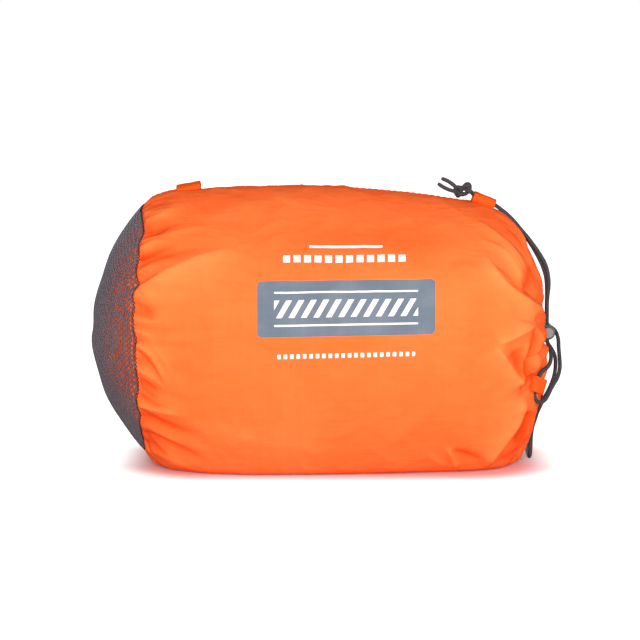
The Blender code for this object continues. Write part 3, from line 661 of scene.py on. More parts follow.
def knotPath(side):
    # an overhand knot, as three polynomials, that comes in from +X and leaves towards -X; side sets the
    # two strands apart
    turns = np.linspace(-1.98, 1.98, cordSet["knotPoints"])
    a = -(turns**3 - 3 * turns) / 2
    b = -(turns**4 - 4 * turns**2 + 2) / 2.3
    c = (turns**5 / 5 - 2 * turns) / 2.4
    half, turn = cordSet["knotHalf"], radians(cordSet["knotTurn"])
    x, z = a * half[0], b * half[2]
    line = np.stack([x * cos(turn) - z * sin(turn), c * half[1], x * sin(turn) + z * cos(turn)], axis=1)
    apart = np.cross(np.gradient(line, axis=0), line - line.mean(axis=0))
    apart /= np.maximum(np.linalg.norm(apart, axis=1), 1e-9)[:, None]
    return line + apart * side * cordSet["knotApart"] / 2 + cordSet["knotCentre"]


def addKnot():
    c = cordSet
    strands = []
    for side, route, tail in ((1, "frontRoute", "upperTail"), (-1, "backRoute", "lowerTail")):
        line = smoothLine(np.concatenate([inMetres(c[route][-1:]), knotPath(side), inMetres(c[tail])]),
                          c["knotStep"])
        along = runAlong(line)
        radii = c["radius"] * (1 - c["tipShrink"] * np.exp((along - along[-1]) / c["tipReach"]))
        strands.append(addTube("strand", line, c["radius"], cordFinish, c["sides"], radii))
    knot = joinMeshes("drawcordKnot", strands)
    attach(knot, "root")
    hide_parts("drawcord_knot", "cord_tail_upper", "cord_tail_lower")
    return knot


def addCord(name, route, node):
    route = inMetres(route)
    line = smoothLine(route, cordSet["step"])
    cord = addTube(name, line, cordSet["radius"], cordFinish, cordSet["sides"])
    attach(cord, "root")
    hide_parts(node)
    print(name, "is", round(lineLength(line) * 1000), "mm long")


drawcordKnot = addKnot()
addCord("drawcordFront", cordSet["frontRoute"], "cord_run_front")
addCord("drawcordBack", cordSet["backRoute"], "cord_run_back")


# Outline of the stuffed sack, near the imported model's

# outline rows: share of the way to the crest, then shares of the size upwards, downwards and sideways;
# end face rows: distance back from the crest, then the same three sizes in metres
sackSet = {
    "axis": 0.072, "top": 0.0787, "side": 0.0820, "seamX": -0.0975, "crestX": 0.1204, "mouthX": 0.1130,
    "mouthRadius": 0.0128, "blend": 0.006, "columns": 420, "rows": 224,
    "outline": ((0.000, 0.862, 0.905, 0.823), (0.021, 0.914, 0.985, 0.866), (0.062, 0.958, 1.150, 0.909),
                (0.126, 0.968, 1.270, 0.945), (0.241, 0.986, 1.370, 0.982), (0.402, 0.994, 1.360, 1.000),
                (0.585, 0.972, 1.300, 0.994), (0.723, 0.930, 1.260, 0.963), (0.815, 0.890, 1.240, 0.927),
                (0.870, 0.849, 1.200, 0.890), (0.906, 0.793, 1.130, 0.848), (0.938, 0.717, 1.030, 0.793),
                (0.963, 0.595, 0.900, 0.701)),
    "endFace": ((0.0034, 0.0375, 0.0480, 0.0470), (0.0010, 0.0300, 0.0360, 0.0365),
                (0.0000, 0.0250, 0.0285, 0.0285), (0.0004, 0.0215, 0.0230, 0.0230),
                (0.0022, 0.0185, 0.0190, 0.0190), (0.0049, 0.0158, 0.0158, 0.0158)),
    "closer": 0.38,          # how much closer the columns stand on the printed side
    "rowsCloser": 0.10,      # and the rows at either end
    "flatWidth": 0.515,      # round the sack before it was gathered
    "hemAllowance": 0.012, "lowest": 0.00025, "seamReach": 0.010, "printedTo": -0.02, "samples": 4000,
}


def sackStations():
    s = sackSet
    rows = [(s["seamX"] + along * (s["crestX"] - s["seamX"]), up * s["top"], down * s["axis"],
             across * s["side"]) for along, up, down, across in s["outline"]]
    rows += [(s["crestX"] - back, *sizes) for back, *sizes in s["endFace"]]
    rows = np.array(rows + [(s["mouthX"], *[s["mouthRadius"]] * 3)])
    return runAlong(rows[:, :2]), rows


stationRun, stationRows = sackStations()
sackRun = stationRun[-1]


def runAt(x):
    # distance along the outline where the cloth first reaches x
    places = np.linspace(0, stationRun[len(sackSet["outline"])], sackSet["samples"])
    return float(np.interp(x, hermite(stationRun, stationRows, places)[:, 0], places))


def shareRound(angle):
    return (angle / (2 * pi)) % 1.0


def onGround(height, inset):
    # flattens what would sink below the floor, with a soft start
    blend, above = sackSet["blend"], height - inset
    return np.where(above > blend, height,
                    np.where(above < -blend, inset, inset + (above + blend) ** 2 / (4 * blend)))


def sackPoint(run, angle, inset=0.0):
    # points of the smooth sack; the angle starts at +Y and turns up
    run, angle = np.broadcast_arrays(run, angle)
    x, up, down, across = np.moveaxis(hermite(stationRun, stationRows, run), -1, 0)
    rise = np.where(np.sin(angle) > 0, up, down) - inset
    height = onGround(sackSet["axis"] + rise * np.sin(angle), inset)
    return np.stack([x, (across - inset) * np.cos(angle), height], axis=-1)


# Seam between cloth and net: its place in the photograph, row by row, as (row, column)

seamSet = {"line": ((196, 146.0), (202.7, 144.4), (209, 140.6), (221, 142.6), (233, 143.9), (245, 138.8),
                    (256, 138.6), (270, 136.0), (278, 136.6), (285, 139.4), (291, 134.0), (298, 132.4),
                    (308, 134.0), (316, 132.4), (328, 133.0), (340, 136.0), (350, 134.9), (360, 134.7),
                    (383, 137.6), (389, 138.0), (398, 136.0), (407, 137.5), (414, 140.0), (419, 139.0),
                    (430, 141.0), (446, 145.4), (454, 143.0), (459, 144.5)),
           "seenFrom": (-0.10, -0.35), "most": 0.003, "waveNoise": ((34, 1), 5), "wave": 0.0011,
           "zigzags": 190, "zigzag": 0.0011, "threadRadius": 0.00027, "threadSides": 6, "sunk": 0.7}


def seamShift(angle):
    # how far the seam wanders along X at each angle, as the photograph shows it and in kind behind
    points = sackPoint(np.zeros_like(angle), angle)
    seen = toPhoto(points)
    rows = np.array(seamSet["line"])
    perPixel = ((cameraSet["distance"] + points[..., 1]) * cameraSet["sensor"] / cameraSet["lens"]
                / cameraSet["picture"])
    read = (np.interp(seen[..., 1], rows[:, 0], rows[:, 1]) - seen[..., 0]) * perPixel
    front = smoothStep(*seamSet["seenFrom"], np.cos(angle))
    wave = flowNoise(shareRound(angle), 0.5, *seamSet["waveNoise"]) * seamSet["wave"]
    return np.clip(read, -seamSet["most"], seamSet["most"]) * front + wave * (1 - front)


# Folds of the printed side, as lines in the photograph: points, height in mm, widths in pixels to the
# left and right of the line, how round the crest is, and how much of either end fades out

foldSet = {
    "upperPuckerA": (((143, 214), (165, 211), (196, 203)), 1.3, 4, 5, 1.4, 0.0, 0.6),
    "upperPuckerB": (((144, 231), (160, 227), (186, 220)), -1.6, 3, 5, 1.2, 0.0, 0.6),
    "upperPuckerC": (((141, 243), (160, 237), (192, 229), (214, 226)), 1.6, 3.5, 5, 1.3, 0.0, 0.6),
    "upperPuckerD": (((138, 258), (155, 250), (182, 243)), -2.1, 3, 4, 1.2, 0.0, 0.6),
    "seamTuck": (((138, 283), (150, 277), (170, 270)), -1.8, 3.5, 3, 1.1, 0.0, 0.7),
    "seamRidge": (((141, 288), (158, 277), (178, 267), (215, 254), (252, 246)), 2.9, 5, 24, 1.25, 0.0, 0.5),
    "midPuckerA": (((134, 302), (146, 309), (154, 322)), -1.8, 4, 3, 1.2, 0.0, 0.6),
    "midPuckerB": (((134, 318), (148, 321), (166, 322)), 0.8, 4, 4, 1.4, 0.0, 0.7),
    "brightFold": (((136, 343), (148, 352), (158, 366), (167, 388)), 2.0, 3.5, 6, 1.2, 0.05, 0.35),
    "darkCrease": (((137, 350), (148, 362), (158, 376), (166, 390)), -1.6, 3, 3.5, 1.2, 0.05, 0.4),
    "brightFoldB": (((146, 340), (158, 350), (168, 366), (173, 380)), 1.1, 3, 4, 1.3, 0.2, 0.5),
    "lowerFoldA": (((139, 388), (150, 396), (162, 400)), -1.3, 3, 3, 1.2, 0.0, 0.6),
    "lowerFoldB": (((140, 404), (165, 411), (192, 418)), 2.4, 4, 4, 1.2, 0.0, 0.6),
    "lowerFoldC": (((141, 415), (160, 423), (180, 431), (204, 438)), -2.1, 4, 4, 1.3, 0.0, 0.6),
    "lowerFoldD": (((144, 432), (176, 446), (212, 465)), -1.8, 4, 5, 1.3, 0.0, 0.5),
    "lowerFoldE": (((145, 447), (165, 455), (182, 462), (200, 467)), 1.9, 4, 4, 1.3, 0.0, 0.6),
    "seamFoldA": (((142, 206), (156, 203), (176, 196)), -1.2, 2.5, 3.5, 1.2, 0.0, 0.5),
    "seamFoldB": (((144, 222), (158, 217), (178, 209)), 1.3, 3, 3.5, 1.2, 0.0, 0.5),
    "seamFoldC": (((143, 236), (156, 231), (171, 222)), -1.5, 2.5, 3, 1.2, 0.0, 0.6),
    "seamFoldD": (((139, 250), (154, 243), (170, 238)), 1.4, 2.5, 3.5, 1.2, 0.0, 0.6),
    "seamFoldE": (((138, 266), (152, 259), (176, 252), (206, 246)), -1.5, 3, 4, 1.2, 0.0, 0.6),
    "seamFoldF": (((137, 273), (150, 267), (165, 262)), 1.2, 2.5, 3, 1.2, 0.0, 0.6),
    "seamFoldG": (((135, 312), (144, 314), (156, 320)), -1.4, 2.5, 3, 1.2, 0.0, 0.6),
    "seamFoldH": (((136, 330), (146, 334), (156, 341)), 1.2, 2.5, 3.5, 1.2, 0.0, 0.6),
    "seamFoldI": (((137, 368), (147, 374), (160, 384), (166, 396)), 1.3, 2.5, 3.5, 1.2, 0.0, 0.6),
    "seamFoldJ": (((138, 379), (148, 386), (158, 394)), -1.4, 2.5, 3, 1.2, 0.0, 0.5),
    "seamFoldK": (((139, 396), (152, 403), (172, 409)), -1.3, 2.5, 3.5, 1.2, 0.0, 0.5),
    "seamFoldL": (((142, 424), (158, 433), (180, 444), (196, 452)), 1.3, 3, 4, 1.2, 0.0, 0.5),
    "seamFoldM": (((144, 440), (160, 451), (176, 460)), -1.4, 2.5, 3.5, 1.2, 0.0, 0.5),
    "upperHollow": (((250, 240), (330, 237), (400, 236), (478, 238)), -0.9, 15, 15, 2.0, 0.35, 0.35),
    "faintArc": (((366, 223), (395, 219), (422, 218)), 0.25, 3, 4, 1.6, 0.4, 0.4),
    "fullnessRight": (((418, 292), (450, 290), (482, 300)), 0.7, 22, 26, 2.0, 0.3, 0.3),
    "shoulderCrease": (((480, 250), (503, 283), (530, 304), (543, 314)), 2.9, 4.5, 13, 1.2, 0.25, 0.1),
    "shoulderFold": (((499, 240), (515, 262), (527, 290)), 1.8, 4, 8, 1.3, 0.3, 0.3),
    "shoulderDark": (((531, 262), (532, 280), (528, 297)), -1.7, 4, 5, 1.4, 0.3, 0.2),
    "tabHollow": (((475, 207), (497, 222), (521, 242)), -0.5, 8, 8, 1.7, 0.2, 0.3),
    "shallowFold": (((478, 314), (500, 308), (517, 303)), 0.5, 4, 6, 1.5, 0.4, 0.4),
    "facetTop": (((494, 345), (510, 339), (525, 331), (540, 322)), 2.9, 10, 3.5, 1.15, 0.15, 0.1),
    "facetSide": (((494, 345), (508, 364), (524, 386)), 2.9, 3.5, 11, 1.15, 0.15, 0.1),
    "facetHollow": (((512, 350), (519, 362), (526, 378)), -2.2, 8, 6, 1.6, 0.2, 0.2),
    "facetLight": (((529, 338), (526, 358), (524, 382)), 1.5, 2.5, 3, 1.3, 0.2, 0.2),
    "facetDark": (((537, 326), (533, 350), (528, 384)), -2.0, 3, 3, 1.3, 0.15, 0.1),
    "facetRim": (((542, 326), (541, 350), (536, 372)), 1.9, 4, 4, 1.5, 0.2, 0.2),
    "tabCrease": (((521, 391), (528, 384), (538, 374)), -3.2, 2.5, 2.5, 1.3, 0.15, 0.15),
    "lowerRidge": (((527, 396), (517, 422), (505, 440), (484, 467)), 3.0, 4, 13, 1.2, 0.15, 0.15),
    "lowerDark": (((531, 410), (526, 432), (514, 450)), -2.9, 6, 6, 1.5, 0.15, 0.3),
    "lowerDarkB": (((524, 446), (512, 456), (496, 463)), -1.5, 4, 5, 1.4, 0.3, 0.3),
    "lowerRim": (((538, 402), (533, 425), (524, 444)), 1.8, 4, 4, 1.5, 0.2, 0.3),
    "footFoldA": (((446, 445), (452, 455), (457, 467)), 2.0, 3, 3, 1.2, 0.3, 0.1),
    "footFoldB": (((450, 449), (466, 455), (488, 460)), -1.7, 3, 4, 1.3, 0.2, 0.5),
    "footFoldC": (((425, 452), (436, 460), (448, 466)), 1.0, 3, 4, 1.4, 0.4, 0.3),
    "shoulderStreakA": (((466, 216), (492, 232), (512, 251), (528, 276)), 1.4, 3, 5, 1.3, 0.3, 0.2),
    "shoulderStreakB": (((478, 238), (497, 248), (513, 266), (523, 286)), 1.2, 2.5, 4, 1.3, 0.3, 0.2),
    "shoulderStreakC": (((490, 262), (506, 273), (522, 291)), -1.2, 2.5, 3.5, 1.3, 0.3, 0.2),
    "shoulderTuck": (((517, 231), (522, 238), (526, 248)), -1.6, 3, 3, 1.3, 0.2, 0.3),
    "upperArcA": (((268, 196), (300, 204), (318, 216)), 0.7, 5, 6, 1.6, 0.3, 0.4),
    "upperArcB": (((196, 226), (240, 208), (300, 200)), 0.8, 6, 7, 1.6, 0.3, 0.5),
    "lowerSweep": (((196, 420), (240, 436), (300, 447), (380, 452)), 0.7, 7, 9, 1.6, 0.2, 0.5),
    "faintUpright": (((470, 398), (471, 420), (474, 442)), 0.3, 4, 6, 1.8, 0.4, 0.4),
}

foldStep = 4.0           # pixels between the points of a fold's line
softEnd = (-0.02, 0.01)  # where a fold's end starts, and the least of it that fades out


def foldHeight(seen, fold):
    # height of one fold at points of the photograph
    line, height, wideLeft, wideRight, power, fadeIn, fadeOut = fold
    points = smoothLine(line, foldStep)
    total = lineLength(points)
    gap, side, along, run = np.full(len(seen), 1e9), np.zeros(len(seen)), np.zeros(len(seen)), 0.0
    for a, b in zip(points[:-1], points[1:]):
        step = b - a
        size = float(np.hypot(*step))
        t = np.clip(((seen - a) @ step) / size**2, 0, 1)
        off = seen - (a + t[:, None] * step)
        far = np.hypot(off[:, 0], off[:, 1])
        closer = far < gap
        gap = np.where(closer, far, gap)
        side = np.where(closer, step[0] * off[:, 1] - step[1] * off[:, 0], side)
        along = np.where(closer, (run + t * size) / total, along)
        run += size
    width = np.where(side > 0, wideRight, wideLeft)
    start, least = softEnd
    taper = smoothStep(start, max(fadeIn, least), along) * smoothStep(start, max(fadeOut, least), 1 - along)
    return height / 1000 * np.exp(-(gap / width) ** power) * taper


# Sack cloth

# a noise is given as its cells round and along the sack, its seed and, for creases, their width
clothSet = {
    # the crests' share of painted highlight, and the hollow depth that gets the full painted shade
    "facing": (0.04, 0.30), "paintedHighlightShare": 0.60, "paintedShadeDepth": 0.0022,
    "lumps": {"height": 0.0012, "noise": ((7, 4), 3), "smallNoise": ((15, 9), 4), "small": 0.5,
              "front": 0.45},
    "wrinkles": {"front": 0.0005, "back": 0.0011, "warp": 0.03, "warpNoise": ((9, 6), 8),
                 "noise": ((12, 7), 13, 0.30), "smallNoise": ((25, 13), 17, 0.28), "small": 0.6},
    "puckers": {"count": 46, "height": 0.0014, "reach": 0.016, "start": 0.0015, "wander": 0.010,
                "wanderNoise": ((21, 10), 30), "size": (0.45, 0.9), "sizeNoise": ((17, 1), 31),
                "middle": 0.6, "shade": 0.9},
    "gathers": {"count": 15, "depth": 0.0040, "from": 0.875, "power": 0.65, "minor": 0.22, "minorPower": 0.8,
                "swell": 0.45, "ease": 0.72, "noise": ((11, 2), 21),
                "bends": ((0.16, 2, 0.7), (0.09, 5, 2.1), (0.04, 9, 0.0))},
    "foot": {"height": 0.005, "keep": 0.1},           # it stays flat where it rests
    "seam": {"half": 0.008, "keep": 0.15, "above": (0.10, 0.12)},
    "tabPuff": {"x": 0.099, "reach": (0.006, 0.012), "above": (0.11, 0.12), "height": 0.0012},
    "rimPuff": {"place": (0.1190, -0.0310, 0.0640), "reach": (0.012, 0.012, 0.013), "height": 0.0022},
    "edge": (-0.001, 0.004),
}


def gatherFolds(angle, share):
    # deep folds that run together at the mouth; share is 0 where they start and 1 at its edge
    g = clothSet["gathers"]
    bend = angle + sum(size * np.sin(times * angle + start) for size, times, start in g["bends"])
    main = np.abs(np.sin(bend * g["count"] / 2)) ** g["power"]
    minor = np.abs(np.sin(bend * g["count"] + 0.9 + 1.5 * share)) ** g["minorPower"]
    swell = smoothStep(0.0, g["swell"], share) * (1 - g["ease"] * smoothStep(0.75, 1.0, share))
    deep = 0.75 + 0.5 * flowNoise(shareRound(angle), share, *g["noise"])
    late = smoothStep(0.25, 0.7, share) * (1 - 0.5 * share)
    return -(1 - main) * swell * deep - (1 - minor) * g["minor"] * late


def photoFolds(seen, front):
    # height of the folds read from the photograph, and how far each point is in a hollow or on a crest, for
    # the painted shade and highlight of its colour
    height, depth = np.zeros_like(front), np.zeros_like(front)
    near = front > 0
    rises = np.array([foldHeight(seen[near], fold) for fold in foldSet.values()])
    relief = np.where(rises < 0, rises, rises * clothSet["paintedHighlightShare"]).sum(axis=0)
    height[near] = rises.sum(axis=0) * front[near]
    depth[near] = -relief / clothSet["paintedShadeDepth"] * front[near]
    return height, depth


def clothHeights(points, angle, run):
    # how far the cloth stands off its smooth form, point by point
    c = clothSet
    share, length = shareRound(angle), run / sackRun
    normals = gridNormals(points)
    towards = cameraAxes()[0] - points
    towards /= np.linalg.norm(towards, axis=2)[..., None]
    front = smoothStep(*c["facing"], (normals * towards).sum(axis=2))
    seen = toPhoto(points)
    height, depth = photoFolds(seen, front)

    p = c["lumps"]
    lumps = flowNoise(share, length, *p["noise"]) + p["small"] * flowNoise(share, length, *p["smallNoise"])
    height += lumps * p["height"] * (p["front"] + (1 - p["front"]) * (1 - front))
    w = c["wrinkles"]
    warp = w["warp"] * flowNoise(share, length, *w["warpNoise"])
    wrinkles = creaseNoise(share + warp, length + warp, *w["noise"])
    wrinkles += w["small"] * creaseNoise(share - warp, length + 0.5 * warp, *w["smallNoise"])
    height += wrinkles * (w["front"] * front + w["back"] * (1 - front))

    p = c["puckers"]
    wander = p["wander"] * flowNoise(share, length, *p["wanderNoise"])
    pucker = np.abs(np.sin(pi * p["count"] * (share + wander)))
    size = p["size"][0] + p["size"][1] * np.abs(flowNoise(share, 0.3, *p["sizeNoise"]))
    ruck = (pucker - p["middle"]) * size * np.exp(-run / p["reach"]) * smoothStep(0, p["start"], run)
    height += ruck * p["height"]
    # the puckers' hollows add painted shade and their crests painted highlight to the cloth's colour
    depth = np.clip(depth - ruck * p["shade"], -1, 1)

    g = c["gathers"]
    shoulder = runAt(sackSet["seamX"] + g["from"] * (sackSet["crestX"] - sackSet["seamX"]))
    gathered = np.clip((run - shoulder) / (sackRun - shoulder), 0, 1)
    height += gatherFolds(angle, gathered) * g["depth"] * smoothStep(0, 0.05, gathered)

    x, y, z = np.moveaxis(points, -1, 0)
    keep = 1 - smoothStep(c["foot"]["height"], 0.0, z) * (1 - c["foot"]["keep"])
    onSeam = np.exp(-(y / c["seam"]["half"]) ** 2) * smoothStep(*c["seam"]["above"], z)
    keep *= 1 - (1 - c["seam"]["keep"]) * onSeam
    puff = c["tabPuff"]
    beside = np.exp(-((x - puff["x"]) / puff["reach"][0]) ** 2 - (y / puff["reach"][1]) ** 2)
    height = height * keep + beside * smoothStep(*puff["above"], z) * puff["height"]
    rim = c["rimPuff"]
    height += np.exp(-(((points - rim["place"]) / rim["reach"]) ** 2).sum(axis=2)) * rim["height"]
    return height * smoothStep(*c["edge"], run), depth, normals, seen


def columnShares():
    # columns round the sack from its top
    even = np.arange(sackSet["columns"]) / sackSet["columns"]
    return even - sackSet["closer"] / (2 * pi) * (np.sin(2 * pi * (even - 0.25)) + 1)


sackAround = columnShares()


def printUv(points, seen):
    # places on the print in millimetres; the back of the sack is sent far off it
    (u0, v0), (u1, v1), (u2, v2), (u3, v3) = patchSet["corners"]
    across = (seen[..., 0] - (u0 + u3) / 2) / ((u1 + u2) / 2 - (u0 + u3) / 2)
    top = v0 + (v1 - v0) * across
    down = (seen[..., 1] - top) / (v3 + (v2 - v3) * across - top)
    away = (points[..., 1] > sackSet["printedTo"]) * 1000.0
    return np.stack([across * patchSet["size"][0] + away, down * patchSet["size"][1] + away], axis=2)


def buildSack():
    s = sackSet
    rows, columns = s["rows"], s["columns"]
    share = np.linspace(0, 1, rows)
    runs = sackRun * (share - s["rowsCloser"] * np.sin(2 * pi * share) / (2 * pi))
    angles = pi / 2 + 2 * pi * sackAround
    run, angle = np.meshgrid(runs, angles, indexing="ij")
    base = sackPoint(run, angle)
    height, depth, normals, seen = clothHeights(base, angle, run)
    points = base + normals * height[..., None]
    points[..., 0] += seamShift(angles)[None] * np.exp(-run / s["seamReach"])
    points[..., 2] = np.maximum(points[..., 2], s["lowest"])
    faces = gridFaces(rows, columns)
    sack = addMesh("sackCloth", points.reshape(-1, 3), faces, sackCloth)
    # painted fold shade (above 0) and painted highlight (below 0), read by the cloth's colour
    sack.data.attributes.new("paintedFoldShading", "FLOAT", "POINT").data.foreach_set("value", depth.ravel())
    corners = np.array(faces)
    column = corners % columns
    wraps = column.max(axis=1) - column.min(axis=1) > columns / 2
    column = sackAround[column] + (wraps[:, None] & (column < columns / 2))
    setUv(sack, np.stack([column * s["flatWidth"], run.reshape(-1)[corners]], axis=2))
    setUv(sack, printUv(points, seen).reshape(-1, 2)[corners], "print")
    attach(sack, "root")
    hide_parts("sack_body")
    sackRun + s["hemAllowance"]
    return points


sackPoints = buildSack()
print("sack cloth made")


# Geometry trees

def geometryTree(name, inputs):
    # a geometry tree with named inputs, given as (name, socket type, value)
    group = bpy.data.node_groups.new(name, "GeometryNodeTree")
    group.interface.new_socket("Geometry", in_out="INPUT", socket_type="NodeSocketGeometry")
    for label, kind, value in inputs:
        socket = group.interface.new_socket(label, in_out="INPUT", socket_type=kind)
        if value is not None:
            socket.default_value = value
    group.interface.new_socket("Geometry", in_out="OUTPUT", socket_type="NodeSocketGeometry")
    tree = Tree(group)
    entry = group.nodes.new("NodeGroupInput")
    return group, tree, {label: Value(tree, entry.outputs[label]) for label in
                         ["Geometry"] + [row[0] for row in inputs]}


def closeTree(group, tree, made, material):
    # every tree ends in real geometry with its material
    real = tree.node("GeometryNodeRealizeInstances", (), [made])
    dressed = tree.node("GeometryNodeSetMaterial", (), {"Geometry": real, "Material": material})
    output = group.nodes.new("NodeGroupOutput")
    group.links.new(dressed.socket, output.inputs[0])


def bake(piece, group, values):
    # runs the tree on the piece and keeps the result as its mesh
    change = piece.modifiers.new(group.name, "NODES")
    change.node_group = group
    for item in group.interface.items_tree:
        if item.name in values and item.in_out == "INPUT":
            change[item.identifier] = values[item.name]
    bpy.context.view_layer.update()
    mesh = bpy.data.meshes.new_from_object(piece.evaluated_get(bpy.context.evaluated_depsgraph_get()))
    piece.modifiers.clear()
    piece.data = mesh
    mesh.shade_smooth()
    return piece


def strandTree():
    group, tree, given = geometryTree("strands", (("Strand radius", "NodeSocketFloat", 0.0004),
                                                  ("Strand sides", "NodeSocketInt", 5),
                                                  ("Yarn", "NodeSocketMaterial", None)))
    lines = tree.node("GeometryNodeMeshToCurve", (), [given["Geometry"]])
    section = tree.node("GeometryNodeCurvePrimitiveCircle", (),
                        {"Resolution": given["Strand sides"], "Radius": given["Strand radius"]})
    swept = tree.node("GeometryNodeCurveToMesh", (), {"Curve": lines, "Profile Curve": section})
    closeTree(group, tree, swept, given["Yarn"])
    return group


def stitchTree():
    group, tree, given = geometryTree("stitches", (
        ("Stitch pitch", "NodeSocketFloat", 0.0025), ("Thread", "NodeSocketMaterial", None),
        ("Stitch size", "NodeSocketVector", (0.0003, 0.0003, 0.001))))
    lines = tree.node("GeometryNodeMeshToCurve", (), [given["Geometry"]])
    spots = tree.node("GeometryNodeCurveToPoints", {"mode": "LENGTH"},
                      {"Curve": lines, "Length": given["Stitch pitch"]})
    turn = Value(tree, spots.socket.node.outputs["Rotation"])
    bead = tree.node("GeometryNodeMeshUVSphere", (), {"Segments": 6, "Rings": 5, "Radius": 1.0})
    bead = tree.node("GeometryNodeTransform", (), {"Geometry": bead, "Scale": given["Stitch size"]})
    placed = tree.node("GeometryNodeInstanceOnPoints", (),
                       {"Points": spots, "Instance": bead, "Rotation": turn})
    closeTree(group, tree, placed, given["Thread"])
    return group


strands, stitches = strandTree(), stitchTree()


def edgeMesh(name, points, edges):
    mesh = bpy.data.meshes.new(name)
    mesh.from_pydata([tuple(p) for p in points], [tuple(e) for e in edges], [])
    return linkMesh(name, mesh)


def lineMesh(name, lines):
    # the lines as edges of one mesh
    points, edges = [], []
    for line in lines:
        edges += [(len(points) + k, len(points) + k + 1) for k in range(len(line) - 1)]
        points += [tuple(p) for p in line]
    return edgeMesh(name, points, edges)


def bakeStitches(name, lines, pitch, size):
    made = bake(lineMesh(name, lines), stitches, {"Stitch pitch": pitch, "Stitch size": size,
                                                  "Thread": orangeThread})
    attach(made, "root")


# Net end: knitted net with slanted holes, drawn over the stuffing

netSet = {"bulge": 0.0277, "gap": 0.0003, "pitch": 0.0027, "stretch": 1.12, "tilt": 27.0, "radius": 0.00036,
          "sides": 5, "uneven": 0.00012, "sag": 0.0010, "sagFrom": 0.4, "sagNoise": ((6, 3), 41),
          "rim": 0.997, "spare": 1.9}
netUp, netAcross = stationRows[0][1], stationRows[0][3]
netBall = (netUp**2 + netSet["bulge"] ** 2) / (2 * netSet["bulge"])    # radius of the dome


def netPoint(share, angle, inset=0.0):
    _, up, down, across = stationRows[0]
    reach = share * up
    tilt = np.arcsin(np.clip(reach / netBall, -1, 1))
    x = (sackSet["seamX"] - netSet["gap"] - (netBall * np.cos(tilt) - (netBall - netSet["bulge"]))
         + inset * np.cos(tilt) + seamShift(angle) * share**8)
    shrink = share * (1 - inset * np.sin(tilt) / np.maximum(reach, 1e-9))
    height = onGround(sackSet["axis"] + np.where(np.sin(angle) > 0, up, down) * shrink * np.sin(angle), inset)
    return np.stack([x, across * shrink * np.cos(angle), height], axis=-1)


def netSag(share, angle):
    lumps = flowNoise(shareRound(angle), share, *netSet["sagNoise"])
    return netSet["sag"] * (netSet["sagFrom"] - lumps) * (1 - share**4)


def buildNet():
    # a flat honeycomb of strands, turned and stretched, then laid over the dome
    n = netSet
    rim = netBall * np.arcsin(netUp / netBall)
    pitch, cells = n["pitch"], int(rim / n["pitch"] * n["spare"])
    i, j = np.meshgrid(np.arange(-cells, cells + 1), np.arange(-cells, cells + 1), indexing="ij")
    corner = np.stack([(i + j / 2) * pitch, j * pitch * sqrt(0.75)], axis=-1)
    other = corner + (pitch / 2, pitch / (2 * sqrt(3)))
    flat = np.concatenate([corner.reshape(-1, 2), other.reshape(-1, 2)])
    index = np.arange(i.size).reshape(i.shape)
    pairs = ((index, index), (index[1:], index[:-1]), (index[:, 1:], index[:, :-1]))
    edges = np.concatenate([np.stack([a, b + i.size], axis=-1).reshape(-1, 2) for a, b in pairs])
    tilt = radians(n["tilt"])
    flat = flat * (1.0, n["stretch"]) @ np.array([[cos(tilt), sin(tilt)], [-sin(tilt), cos(tilt)]])
    flat += rng.normal(0, n["uneven"], flat.shape)
    radius, angle = np.hypot(flat[:, 0], flat[:, 1]), np.arctan2(flat[:, 1], flat[:, 0])
    edges = edges[(radius < rim * n["rim"])[edges].any(axis=1)]
    used = np.unique(edges)
    renumber = np.full(len(flat), -1)
    renumber[used] = np.arange(len(used))
    share = netBall * np.sin(np.minimum(radius, rim)[used] / netBall) / netUp
    points = netPoint(share, angle[used], netSag(share, angle[used]))
    net = bake(edgeMesh("netEnd", points, renumber[edges]), strands,
               {"Strand radius": n["radius"], "Strand sides": n["sides"], "Yarn": netFinish})
    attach(net, "root")
    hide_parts("net_end")
    area = pi * (netAcross * netUp + n["bulge"] ** 2)
    2 * netAcross
    2 * netUp


buildNet()


# Canopy: a crumpled roll of the same cloth that fills the sack

bundleSet = {"columns": 180, "inset": 0.0036, "netInset": 0.0022, "rimInset": 0.0009, "mouthInset": 0.0062,
             "crumple": 0.0018, "netCrumple": 0.0011, "spiral": 0.0012, "turns": 4.0, "wander": 0.05,
             "wanderNoise": ((7, 5), 52), "folds": ((13, 8), 53, 0.4), "smallFolds": ((29, 15), 54, 0.35),
             "bodyFolds": ((11, 9), 55, 0.4), "netRows": 52, "rows": 96, "start": 0.003,
             "closing": (0.7, 0.4, 0.15), "closingStep": 0.0006, "flat": (0.45, 0.30)}


def bundleDome(angles):
    # the end behind the net, wound and crumpled
    b = bundleSet
    share, angle = np.meshgrid(np.linspace(0.03, 0.97, b["netRows"]), angles, indexing="ij")
    turn = shareRound(angle)
    wander = b["wander"] * flowNoise(turn, share, *b["wanderNoise"])
    wound = ((share * b["turns"] + turn + 3 * wander) % 1.0) ** 2
    folds = creaseNoise(turn + wander, share + wander, *b["folds"])
    folds += 0.5 * creaseNoise(turn - wander, share, *b["smallFolds"])
    deep = b["rimInset"] + (b["netInset"] - b["rimInset"]) * smoothStep(0.99, 0.72, share)
    rough = wound * b["spiral"] + (1.2 - np.clip(folds, 0, 1.2)) * b["netCrumple"]
    return netPoint(share, angle, deep + rough * smoothStep(1.0, 0.86, share))


def bundleBody(angles):
    b = bundleSet
    run, angle = np.meshgrid(np.linspace(b["start"], sackRun, b["rows"]), angles, indexing="ij")
    base = sackPoint(run, angle)
    length = run / sackRun
    folds = creaseNoise(shareRound(angle), length, *b["bodyFolds"])
    deep = b["inset"] + (b["mouthInset"] - b["inset"]) * smoothStep(0.72, 0.86, length)
    return base - gridNormals(base) * (deep + (1 - np.clip(folds, 0, 1)) * b["crumple"])[..., None]


